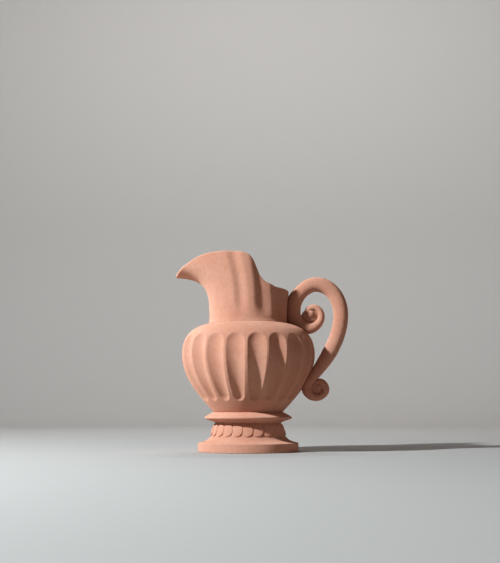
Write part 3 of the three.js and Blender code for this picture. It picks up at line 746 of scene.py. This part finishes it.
# %% Rim and folds
RIM_FLARE, RIM_LEAN = 2.5, 6
RIM_BACK_HEIGHT, RIM_BACK_RISE, RIM_BACK_CURVE = 47.5, 12, 2.2
RIM_STEP, RIM_STEP_ANGLE, RIM_STEP_SOFTNESS = 38.8, radians(71), radians(4.6)
CREST_RISE, CREST = 2.5, (radians(78), radians(112))
SPOUT_REACH, SPOUT_DROP, SPOUT_SHOULDER = 46.3, 31.3, radians(114)
SPOUT_BREADTH, SPOUT_NARROWNESS, SPOUT_FALL_CURVE = 0.2, 3, 1.5
FOLD_FADE = 0.2
# Folds: bearing from the handle at the foot and at the rim, depth, and width towards the spout and the handle
FOLDS = (
    (radians(98.5), radians(103.5), 3.3, radians(11), radians(13)),
    (radians(66.5), radians(67), 4.2, radians(16), radians(22)),
    (radians(38), radians(38), 4.5, radians(15), radians(16)),
)


def from_handle(angle):
    """Bearing of an angle from the handle, from 0 to pi and alike on both sides."""
    return np.abs((angle + pi) % (2 * pi) - pi)


def fold_draw(angle, rise, widening=1.0):
    """How far the folds draw the wall in: a squared cosine over each fold's width.

    It fades in from the foot of the neck.
    """
    turn = from_handle(angle)
    drawn = 0
    for foot, rim, depth, to_spout, to_handle in FOLDS:
        off = turn - foot - (rim - foot) * rise
        off = np.abs(off) / np.where(off > 0, to_spout, to_handle) / widening
        drawn = drawn + depth * np.cos(0.5 * pi * np.clip(off, 0, 1)) ** 2
    return drawn * ease(0, FOLD_FADE, rise)


def rim_line(angle):
    """The rim's outer edge: low behind, a steep step at the sides, a high crest and a falling beak."""
    turn = from_handle(angle)
    pull = np.maximum(0, -np.cos(angle)) ** SPOUT_NARROWNESS
    reach = NECK_RADIUS + RIM_FLARE
    step = RIM_STEP / (1 + np.exp((RIM_STEP_ANGLE - turn) / RIM_STEP_SOFTNESS))
    back = RIM_BACK_RISE * np.minimum(1, turn / RIM_STEP_ANGLE) ** RIM_BACK_CURVE
    to_tip = np.maximum(0, turn - SPOUT_SHOULDER) / (pi - SPOUT_SHOULDER)
    fall = SPOUT_DROP * np.sin(0.5 * pi * to_tip**SPOUT_FALL_CURVE) ** 2
    x = reach * np.cos(angle) - SPOUT_REACH * pull - RIM_LEAN * np.sin(angle) ** 2
    y = reach * np.sin(angle) * (1 + SPOUT_BREADTH * pull)
    crest = CREST_RISE * ease(*CREST, turn)
    return np.stack([x, y, neck_z + RIM_BACK_HEIGHT + back + step + crest - fall], axis=-1)


rim_heights = rim_line(np.linspace(0, pi, 181))[:, 2]
print("rim from", round(rim_heights.min(), 1), "to", round(rim_heights.max(), 1), "mm high")

# %% [markdown]
# ## The neck and its beak
# A cylinder that is stretched to this rim would give a beak like a funnel. So each rail of the neck, from
# its round foot to the rim, is one curve with five control points, which starts upright and ends upright at
# the rim. In the throat it bends out later, and below the tip of the beak it ends nearly level, which gives
# the beak its round underside. The inside is the outside moved in along its normals, and a rounded lip
# joins the two.

# %% Neck
NECK_STEPS, NECK_ROWS = 432, 92
THROAT, BEAK_TIP = (radians(131), radians(167)), (radians(149), radians(179))
KNEE_SHARE, BEND_SHARE, BEND_REACH, THROAT_RISE = 0.5, 0.72, 0.5, 0.1
LIP_RUN, TIP_UNDERCUT, TIP_RUN = 0.165, 0.75, 0.04
LIP_WALL, LIP_CROWN, LIP_STEPS = 4.6, 2.0, 10
FOOT_FILLET, FOOT_FILLET_HEIGHT = 1.8, 6
NECK_GROOVE_DEPTH = 0.09
FOLD_WIDER_INSIDE = 1.25

neck_angle = np.arange(NECK_STEPS) * 2 * pi / NECK_STEPS
neck_rise = np.linspace(0, 1, NECK_ROWS)[:, None]
outward = np.stack([np.cos(neck_angle), np.sin(neck_angle), 0 * neck_angle], axis=-1)
rim_edge = rim_line(neck_angle)
rim_turn = from_handle(neck_angle)
throat = ease(*THROAT, rim_turn)[:, None]
tip = ease(*BEAK_TIP, rim_turn)[:, None]
overhang = (rim_edge * outward).sum(-1, keepdims=True) - NECK_RADIUS
tall = rim_edge[:, 2:] - neck_z
up = np.array([0.0, 0.0, 1.0])
rail_foot = NECK_RADIUS * outward + neck_z * up
rail_knee = rail_foot + KNEE_SHARE * tall * up
bend_rise = (BEND_SHARE + THROAT_RISE * throat) * tall
bend_reach = BEND_REACH * (1 - throat) * overhang
rail_bend = rail_foot + bend_rise * up + bend_reach * outward
lip_run = LIP_RUN * (1 - tip) * tall + TIP_RUN * tip * overhang
rail_lip = rim_edge - TIP_UNDERCUT * tip * overhang * outward - lip_run * up
# A curve of five points weights them 1, 4, 6, 4 and 1 times t^k (1 - t)^(4 - k)
t = neck_rise[:, :, None]
rails = [rail_foot, rail_knee, rail_bend, rail_lip, rim_edge]
neck_base = sum(comb(4, k) * t**k * (1 - t) ** (4 - k) * point for k, point in enumerate(rails))

neck_normal = np.cross(np.roll(neck_base, -1, 1) - np.roll(neck_base, 1, 1), np.gradient(neck_base, axis=0))
neck_normal[0, :, 2] = 0
neck_normal /= np.linalg.norm(neck_normal, axis=-1, keepdims=True)
foot_fillet = FOOT_FILLET * (1 - ease(0, FOOT_FILLET_HEIGHT, neck_base[:, :, 2] - neck_z)) ** 2
neck_outside = neck_base + (foot_fillet - fold_draw(neck_angle, neck_rise))[:, :, None] * outward
wall = NECK_WALL + (LIP_WALL - NECK_WALL) * neck_rise
grooves = NECK_GROOVE_DEPTH * np.sin(neck_base[:, :, 2] * 2 * pi / GROOVE_PITCH)
grooves = grooves * np.sin(pi * neck_rise) ** 0.5
neck_inside = neck_base - (wall + grooves)[:, :, None] * neck_normal
neck_inside = neck_inside - fold_draw(neck_angle, neck_rise, FOLD_WIDER_INSIDE)[:, :, None] * outward

lip_middle = 0.5 * (neck_outside[-1] + neck_inside[-1])
lip_heading = neck_outside[-1] - neck_outside[-2]
lip_heading /= np.linalg.norm(lip_heading, axis=-1, keepdims=True)
lip_bearing = np.linspace(0, pi, LIP_STEPS + 1)[1:-1, None, None]
lip_across = np.cos(lip_bearing) * (neck_outside[-1] - lip_middle)
lip = lip_middle + lip_across + LIP_CROWN * np.sin(lip_bearing) * lip_heading

neck_rows = np.concatenate([neck_outside, lip, neck_inside[::-1]])
neck_mesh = clay_mesh("beaked_neck", *closed_skin(neck_rows, ring=True))
finish_inside(neck_mesh, len(neck_outside) + len(lip), len(neck_angle), len(neck_rows))
place_piece("beaked_neck", neck_mesh, [turned_clay, inside_clay], "spouted_neck")
neck_top = round(neck_rows[..., 2].max(), 1)
print("neck with", len(neck_mesh.polygons), "faces, up to", neck_top, "mm")

# %% [markdown]
# ## Rolls of clay
# The handle is made of rolls of clay. A roll is a path with a round section, which a bevelled curve could
# give. But here the section changes its width on the way, and it dips in at an end where two rolls meet. So
# the path is an array of points, and an ellipse of points is set square to it at each of them.

# %% Strands along a path
STRAND_STEPS = 64
DIP_LENGTH, DIP_DEPTH, DIP_STEPS = 2.4, 0.4, 5


def strand_rows(path, half_widths, half_depths):
    """A roll of clay along a path of (x, z) points: an ellipse square to the path at each of them.

    The half width lies in the plane of the handle, and the half depth across it, along y.
    """
    heading = np.gradient(path, axis=0)
    heading /= np.linalg.norm(heading, axis=1, keepdims=True)
    across = np.stack([heading[:, 1], -heading[:, 0]], axis=-1)
    bearing = np.arange(STRAND_STEPS) * 2 * pi / STRAND_STEPS
    side = (half_widths[:, None] * np.cos(bearing))[:, :, None] * across[:, None, :]
    flat = path[:, None, :] + side
    return np.stack([flat[..., 0], half_depths[:, None] * np.sin(bearing), flat[..., 1]], axis=-1)


def with_dips(path, at_start, at_end):
    """A path carried on straight past its ends, and how far the strand shrinks there.

    The shrinking grows with the square of the way past the end, so two strands that meet blend into each
    other.
    """
    way = np.linspace(0, 1, DIP_STEPS + 1)[1:, None]
    shrink = DIP_DEPTH * way[:, 0] ** 2
    parts, dips = [path], [np.zeros(len(path))]
    if at_start:
        back = (path[0] - path[1]) / np.linalg.norm(path[0] - path[1])
        parts, dips = [(path[0] + DIP_LENGTH * way * back)[::-1], *parts], [shrink[::-1], *dips]
    if at_end:
        on = (path[-1] - path[-2]) / np.linalg.norm(path[-1] - path[-2])
        parts, dips = [*parts, path[-1] + DIP_LENGTH * way * on], [*dips, shrink]
    return np.vstack(parts), np.concatenate(dips)


print("a roll has", STRAND_STEPS, "points round it and goes on for", DIP_LENGTH, "mm where it dips in")

# %% [markdown]
# ## The lines of the scrolls
# Each end of the handle winds up into a scroll like a snail. A spiral formula would give an even one, but a
# hand rolls it thicker here and thinner there. So the outer and the inner edge are given as distances from
# the eye at a few bearings, with the depth there, and a smooth line goes through each set of values.

# %% Edges of the scrolls
ROOT_RADIUS, ROOT_GAP = 10, 0.4
UPPER_EYE_OUT, UPPER_EYE_RISE = 26, 13
LOWER_EYE_OUT, LOWER_EYE_DROP = 21.5, 49.6
ROLL_POINTS = 150
root_x = NECK_RADIUS + ROOT_RADIUS + ROOT_GAP
upper_eye = np.array([root_x + UPPER_EYE_OUT, neck_z + UPPER_EYE_RISE])
bowl_line = bend_curve(bowl_profile, np.linspace(0, 1, 400))
lower_eye_z = belly_z - LOWER_EYE_DROP
bowl_at_eye = np.interp(lower_eye_z, bowl_line[:, 1], bowl_line[:, 0])
lower_eye = np.array([bowl_at_eye + LOWER_EYE_OUT, lower_eye_z])


def smooth_through(x, knots, values):
    """A smooth line through values at knots: each stretch is a cubic with the mean slopes at its ends."""
    knots, values = np.asarray(knots, float), np.asarray(values, float)
    slope = np.gradient(values, knots)
    place = np.clip(np.searchsorted(knots, x) - 1, 0, len(knots) - 2)
    width = knots[place + 1] - knots[place]
    t = (x - knots[place]) / width
    start = (2 * t**3 - 3 * t**2 + 1) * values[place] + (t**3 - 2 * t**2 + t) * width * slope[place]
    end = (3 * t**2 - 2 * t**3) * values[place + 1] + (t**3 - t**2) * width * slope[place + 1]
    return start + end


# Distance of each roll's outer and inner edge from its eye, and its half depth, at bearings in degrees
UPPER_BEARINGS = (171, 200, 225, 261, 300, 345, 390, 432, 470, 510, 545)
UPPER_OUTER = (36.3, 36.6, 33.0, 28.2, 23.2, 20.4, 18.7, 16.9, 14.2, 11.4, 8.6)
UPPER_INNER = (16.3, 14.2, 12.4, 11.2, 10.6, 10.0, 8.8, 7.2, 5.0, 3.0, 1.6)
UPPER_DEPTHS = (10.0, 9.8, 9.6, 9.0, 8.5, 8.2, 7.9, 7.4, 6.4, 4.8, 3.0)
LOWER_BEARINGS = (140, 194, 226, 259, 297, 327, 347, 390, 426, 460, 500, 540)
LOWER_OUTER = (23.3, 23.6, 21.8, 20.0, 18.6, 18.4, 17.9, 15.7, 14.2, 11.6, 8.6, 6.4)
LOWER_INNER = (8.1, 8.6, 9.0, 9.0, 8.4, 7.4, 6.2, 4.4, 2.8, 1.2, 0.2, 0.0)
LOWER_DEPTHS = (7.6, 7.8, 7.9, 7.9, 7.7, 7.5, 7.3, 6.8, 6.2, 5.4, 4.2, 3.0)


def roll_line(eye, bearings, outer, inner, depths):
    """Middle line, half width and half depth of a roll between its two edges."""
    bearing = np.linspace(bearings[0], bearings[-1], ROLL_POINTS)
    far, near = smooth_through(bearing, bearings, outer), smooth_through(bearing, bearings, inner)
    turn = 0.5 * (far + near)
    angle = np.radians(bearing)
    path = eye + turn[:, None] * np.stack([np.cos(angle), np.sin(angle)], axis=-1)
    return path, 0.5 * (far - near), smooth_through(bearing, bearings, depths)


upper_path, upper_width, upper_depth = roll_line(
    upper_eye, UPPER_BEARINGS, UPPER_OUTER, UPPER_INNER, UPPER_DEPTHS)
lower_path, lower_width, lower_depth = roll_line(
    lower_eye, LOWER_BEARINGS, LOWER_OUTER, LOWER_INNER, LOWER_DEPTHS)
print("eyes at", upper_eye.round(1), "and", lower_eye.round(1), "mm from the axis and the ground")

# %% [markdown]
# ## The handle's arm
# The arm is a roll of clay, thick as a thumb, that leaves the neck, goes over in an arch and comes down to
# the bowl. One curve can't follow such a long way, so its path is three cubic curves laid end to end and
# divided evenly. The section swells to the arch and tapers to its lower end. Where it bends away from the
# neck it is widened on that side, so that it leans on the wall.

# %% Arm
ARM_RADIUS, LOWER_RADIUS = 11, 7.6
ROOT_LEAN, ROOT_BELOW_RIM = 0.9, 9.5
ARCH_OUT, ARCH_RISE, ARCH_START = 33.6, 32.4, 17
ARM_PAST_BELLY, ARM_SIDE_DROP = 50.4, 24
ARM_POINTS = 220
SWELL_END, TAPER_START, LEAN_END = 0.25, 0.75, 0.13
# How far along its leg a steering point lies: in a quarter circle, beside the neck and on the way down
QUARTER_ROUND, INNER_ROUND, LONG_ROUND = 0.5523, 0.5, 0.36


def even_path(points, count):
    """Points spaced evenly along a line of many points, and their shares of the way."""
    length = np.concatenate([[0], np.cumsum(np.linalg.norm(np.diff(points, axis=0), axis=1))])
    share = np.linspace(0, 1, count)
    places = share * length[-1]
    return np.stack([np.interp(places, length, points[:, k]) for k in (0, 1)], axis=-1), share


root_z = neck_z + RIM_BACK_HEIGHT - ROOT_BELOW_RIM
root = np.array([root_x, root_z - ARCH_START])
top = np.array([root_x + ARCH_OUT, root_z + ARCH_RISE - ARM_RADIUS])
side = np.array([belly_radius + ARM_PAST_BELLY - ARM_RADIUS, root_z - ARM_SIDE_DROP])
foot = lower_path[0]
foot_heading = (lower_path[1] - foot) / np.linalg.norm(lower_path[1] - foot)
many = np.linspace(0, 1, 200)
arm_line = np.vstack([
    bend_curve([root, (root[0], root[1] + INNER_ROUND * (top[1] - root[1])),
                (top[0] - INNER_ROUND * (top[0] - root[0]), top[1]), top], many)[:-1],
    bend_curve([top, (top[0] + QUARTER_ROUND * (side[0] - top[0]), top[1]),
                (side[0], side[1] + QUARTER_ROUND * (top[1] - side[1])), side], many)[:-1],
    bend_curve([side, (side[0], side[1] + LONG_ROUND * (foot[1] - side[1])),
                foot - LONG_ROUND * np.linalg.norm(side - foot) * foot_heading, foot], many),
])
arm_path, arm_share = even_path(arm_line, ARM_POINTS)
arm_radius = ROOT_RADIUS + (ARM_RADIUS - ROOT_RADIUS) * ease(0, SWELL_END, arm_share)
arm_radius = arm_radius + (LOWER_RADIUS - arm_radius) * ease(TAPER_START, 1, arm_share)
# The lean moves the middle to the neck by half of what the path bends away, and widens the section as much
arm_lean = (ROOT_LEAN + 0.5 * (arm_path[:, 0] - root_x)) * (1 - ease(0, LEAN_END, arm_share))
arm_path[:, 0] -= arm_lean
arm_whole, arm_dip = with_dips(arm_path, True, True)
arm_radius, arm_lean = np.pad(arm_radius, DIP_STEPS, "edge"), np.pad(arm_lean, DIP_STEPS, "edge")
arm_rows = strand_rows(arm_whole, arm_radius + arm_lean - arm_dip, arm_radius - arm_dip)
arm_mesh = clay_mesh("arched_arm", *closed_skin(arm_rows))
place_piece("arched_arm", arm_mesh, [rolled_clay], "handle_arm")
print("arm", round(np.linalg.norm(np.diff(arm_path, axis=0), axis=1).sum()), "mm long")

# %% [markdown]
# ## Pressing clay together
# Each scroll is pressed together, so that a narrow groove winds into its eye and no daylight shows through.
# A pillow of clay fills the eye. A boolean union would leave a hard crease between roll and pillow, so a
# voxel remesh melts them into one skin, and a little smoothing softens the groove as a wet brush would.

# %% Pillows and melting
PILLOW_STEPS, PILLOW_ROWS, PILLOW_END = 72, 25, 0.08
VOXEL, BRUSH_FACTOR, BRUSH_PASSES = 0.55, 0.5, 5
pillow_bearing = np.arange(PILLOW_STEPS) * 2 * pi / PILLOW_STEPS


def pillow_rows(eye, radius, half_depth):
    """A rounded disc in the handle's plane: a half circle of rows from its front to its back.

    A row at the angle p lies at sin p of the radius and at cos p of the half depth. The radius is one for all
    bearings or one for each.
    """
    p = np.linspace(pi - PILLOW_END, PILLOW_END, PILLOW_ROWS)[:, None]
    reach = radius * np.sin(p)
    x = eye[0] + reach * np.cos(pillow_bearing)
    z = eye[1] + reach * np.sin(pillow_bearing)
    return np.stack([x, half_depth * np.cos(p) + 0 * x, z], axis=-1)


def rolled_scroll(name, grids, node):
    """Melts closed skins into one: puts them in one mesh, remeshes it and smooths it."""
    points, faces = np.zeros((0, 3)), []
    for grid in grids:
        more_points, more_faces = closed_skin(grid)
        faces += [[corner + len(points) for corner in face] for face in more_faces]
        points = np.vstack([points, more_points])
    rough = bpy.data.objects.new(name + "_rough", clay_mesh(name + "_rough", points, faces))
    bpy.context.scene.collection.objects.link(rough)
    melt = rough.modifiers.new("melt", "REMESH")
    melt.mode, melt.voxel_size = "VOXEL", VOXEL * MM
    brush = rough.modifiers.new("brush", "SMOOTH")
    brush.factor, brush.iterations = BRUSH_FACTOR, BRUSH_PASSES
    mesh = bpy.data.meshes.new_from_object(rough.evaluated_get(bpy.context.evaluated_depsgraph_get()))
    mesh.name = name
    bpy.data.objects.remove(rough)
    mesh.shade_smooth()
    place_piece(name, mesh, [rolled_clay], node)
    print(name, "with", len(mesh.polygons), "faces")


print("rolls and pillows are melted in voxels of", VOXEL, "mm")

# %% [markdown]
# ## The two scrolls
# The upper scroll comes down the neck from the root of the arm, turns out over the shoulder and winds up to
# its eye. The lower one takes over from the end of the arm, turns out along the bowl and winds up as well.
# A bare roll would leave a hole in each eye, so both have a thin web there and a round boss on it.

# %% Scrolls
UPRIGHT_STEPS, LEAN_STEPS = 6, 30
# Webs and bosses that fill the eyes: radius, half depth, and the place of a boss from its eye
UPPER_WEB, UPPER_BOSS, UPPER_BOSS_PLACE = (11.2, 4.6), (7.2, 7.8), (-1.2, 1.6)
LOWER_WEB, LOWER_BOSS, LOWER_BOSS_PLACE = (9.4, 4.2), (5.4, 7.0), (2.2, 0.8)
UPPER_WEB_BULGE, BULGE_BEARING, BULGE_WIDTH = 3.6, 185, 55


def bulge(bearing, middle, width):
    """A squared cosine hill round a bearing in degrees."""
    off = np.abs((np.degrees(bearing) - middle + 180) % 360 - 180) / width
    return np.cos(0.5 * pi * np.clip(off, 0, 1)) ** 2


upright_z = np.linspace(root[1], upper_path[0, 1], UPRIGHT_STEPS + 1)[:-1]
upright = np.stack([np.full(UPRIGHT_STEPS, root_x), upright_z], axis=-1)
upper_whole = np.vstack([upright, upper_path])
upper_place = np.arange(len(upper_whole))
upper_lean = ROOT_LEAN * (1 - ease(UPRIGHT_STEPS, UPRIGHT_STEPS + LEAN_STEPS, upper_place))
upper_whole[:, 0] -= upper_lean
upper_whole, upper_dip = with_dips(upper_whole, True, False)
upright_radius = np.full(UPRIGHT_STEPS + DIP_STEPS, ROOT_RADIUS)
upper_half_width = np.concatenate([upright_radius, upper_width]) + np.pad(upper_lean, (DIP_STEPS, 0), "edge")
upper_half_depth = np.concatenate([upright_radius, upper_depth])
upper_strand = strand_rows(upper_whole, upper_half_width - upper_dip, upper_half_depth - upper_dip)
web_bulge = UPPER_WEB_BULGE * bulge(pillow_bearing, BULGE_BEARING, BULGE_WIDTH)
upper_web = pillow_rows(upper_eye, UPPER_WEB[0] + web_bulge, UPPER_WEB[1])
upper_boss = pillow_rows(upper_eye + UPPER_BOSS_PLACE, *UPPER_BOSS)
rolled_scroll("upper_roll", [upper_strand, upper_web, upper_boss], "upper_scroll")

lower_whole, lower_dip = with_dips(lower_path, True, False)
lower_strand = strand_rows(
    lower_whole,
    np.pad(lower_width, (DIP_STEPS, 0), "edge") - lower_dip,
    np.pad(lower_depth, (DIP_STEPS, 0), "edge") - lower_dip,
)
lower_web = pillow_rows(lower_eye, *LOWER_WEB)
lower_boss = pillow_rows(lower_eye + LOWER_BOSS_PLACE, *LOWER_BOSS)
rolled_scroll("lower_roll", [lower_strand, lower_web, lower_boss], "lower_scroll")

# %% [markdown]
# ## Floor and light
# The jug stands on a plain pale sweep, a floor that curves up into a wall all round. One fairly small lamp
# from the upper left rakes over the flutes and folds, as low sun does. A weak wide lamp at the right opens
# the shadows, and a third lamp brightens the wall. Raking light on matt clay is contrasty, so the view
# keeps plain colours and a stronger contrast.

# %% Stage
FLOOR_REACH, FLOOR_BEND, WALL_TOP = 2200, 900, 3200
SWEEP_STEPS, FLOOR_RINGS, BEND_RINGS = 96, 12, 24
MIDDLE_HEIGHT = 145
SWEEP_TONE = (0.47, 0.44, 0.415, 1)
AIR_TONE, AIR_STRENGTH = (1.0, 0.9, 0.82, 1), 0.03
sweep_bend = np.linspace(0, 0.5 * pi, BEND_RINGS)[1:]
sweep_outline = np.vstack([
    np.stack([np.linspace(0.01, FLOOR_REACH, FLOOR_RINGS), np.zeros(FLOOR_RINGS)], axis=-1),
    np.stack([FLOOR_REACH + FLOOR_BEND * np.sin(sweep_bend), FLOOR_BEND * (1 - np.cos(sweep_bend))], axis=-1),
    [[FLOOR_REACH + FLOOR_BEND, WALL_TOP]],
])
sweep_rows = turned_rows(sweep_outline, SWEEP_STEPS)
sweep_points = np.arange(len(sweep_rows) * SWEEP_STEPS).reshape(-1, SWEEP_STEPS)
inner, outer = sweep_points[:-1], sweep_points[1:]
sweep_faces = np.stack([inner, np.roll(inner, -1, 1), np.roll(outer, -1, 1), outer], axis=-1)
sweep_mesh = clay_mesh("studio_sweep", sweep_rows.reshape(-1, 3), sweep_faces.reshape(-1, 4).tolist())
sweep = bpy.data.objects.new("studio_sweep", sweep_mesh)
bpy.context.scene.collection.objects.link(sweep)
sweep_paint = bpy.data.materials.new("sweep_paint")
sweep_paint.use_nodes = True
paint_shader = sweep_paint.node_tree.nodes["Principled BSDF"]
paint_shader.inputs["Base Color"].default_value = SWEEP_TONE
paint_shader.inputs["Roughness"].default_value = 0.9
sweep_mesh.materials.append(sweep_paint)

middle = Vector((axis_x * MM, 0, MIDDLE_HEIGHT * MM))


def lamp(name, place, target, size, power, colour):
    """A round area lamp at a place in metres from the jug's middle, turned to a target."""
    light = bpy.data.lights.new(name, "AREA")
    light.shape, light.size, light.energy, light.color = "DISK", size, power, colour
    holder = bpy.data.objects.new(name, light)
    holder.location = middle + Vector(place)
    holder.rotation_euler = (Vector(target) - Vector(place)).to_track_quat("-Z", "Y").to_euler()
    bpy.context.scene.collection.objects.link(holder)


lamp("key_lamp", (-1.51, -1.095, 1.15), (0, 0, 0), 0.14, 57, (0.92, 1.04, 1.11))
lamp("fill_lamp", (1.35, -1.52, 0.3), (0, 0, 0), 1.4, 2.4, (1.0, 0.74, 0.64))
lamp("wall_lamp", (0, 1.1, 2.2), (0, 3.0, 0.5), 1.2, 30, (0.97, 1.0, 1.04))
world = bpy.data.worlds.new("studio_air")
world.use_nodes = True
air = world.node_tree.nodes["Background"]
air.inputs["Color"].default_value = AIR_TONE
air.inputs["Strength"].default_value = AIR_STRENGTH
bpy.context.scene.world = world
bpy.context.scene.view_settings.view_transform = "Standard"
bpy.context.scene.view_settings.look = "High Contrast"
print(len(bpy.data.lights), "lamps, and a sweep of", len(sweep_mesh.polygons), "faces")

# %% [markdown]
# ## The camera
# A jug is best seen from its side, where the beak, the belly and the handle make one outline. The camera
# stands about one and a half metres away, lower than the middle of the belly, and looks up a little. From
# far away the rings of the foot would look flat, and from close by the belly would swell, so it stands in
# between and the lens is chosen to fill the picture.

# %% Camera
VIEW_ANGLE = radians(1.5)
VIEW_DISTANCE, VIEW_HEIGHT, VIEW_PITCH = 1485, 62, radians(7.3)
VIEW_OFFSET = 2.67
FOCAL_LENGTH, SENSOR_WIDTH = 63.64, 36
right = np.array([cos(VIEW_ANGLE), sin(VIEW_ANGLE), 0])
ahead = np.array([-sin(VIEW_ANGLE), cos(VIEW_ANGLE), 0])
eye = np.array([axis_x, 0, VIEW_HEIGHT]) + VIEW_OFFSET * right - VIEW_DISTANCE * ahead
lens = bpy.data.cameras.new("studio_camera")
lens.lens, lens.sensor_width = FOCAL_LENGTH, SENSOR_WIDTH
camera = bpy.data.objects.new("studio_camera", lens)
camera.location = Vector(eye) * MM
look = cos(VIEW_PITCH) * ahead + np.array([0, 0, sin(VIEW_PITCH)])
camera.rotation_euler = Vector(look).to_track_quat("-Z", "Y").to_euler()
bpy.context.scene.collection.objects.link(camera)
bpy.context.scene.camera = camera
print("camera at", [round(v, 3) for v in camera.location])
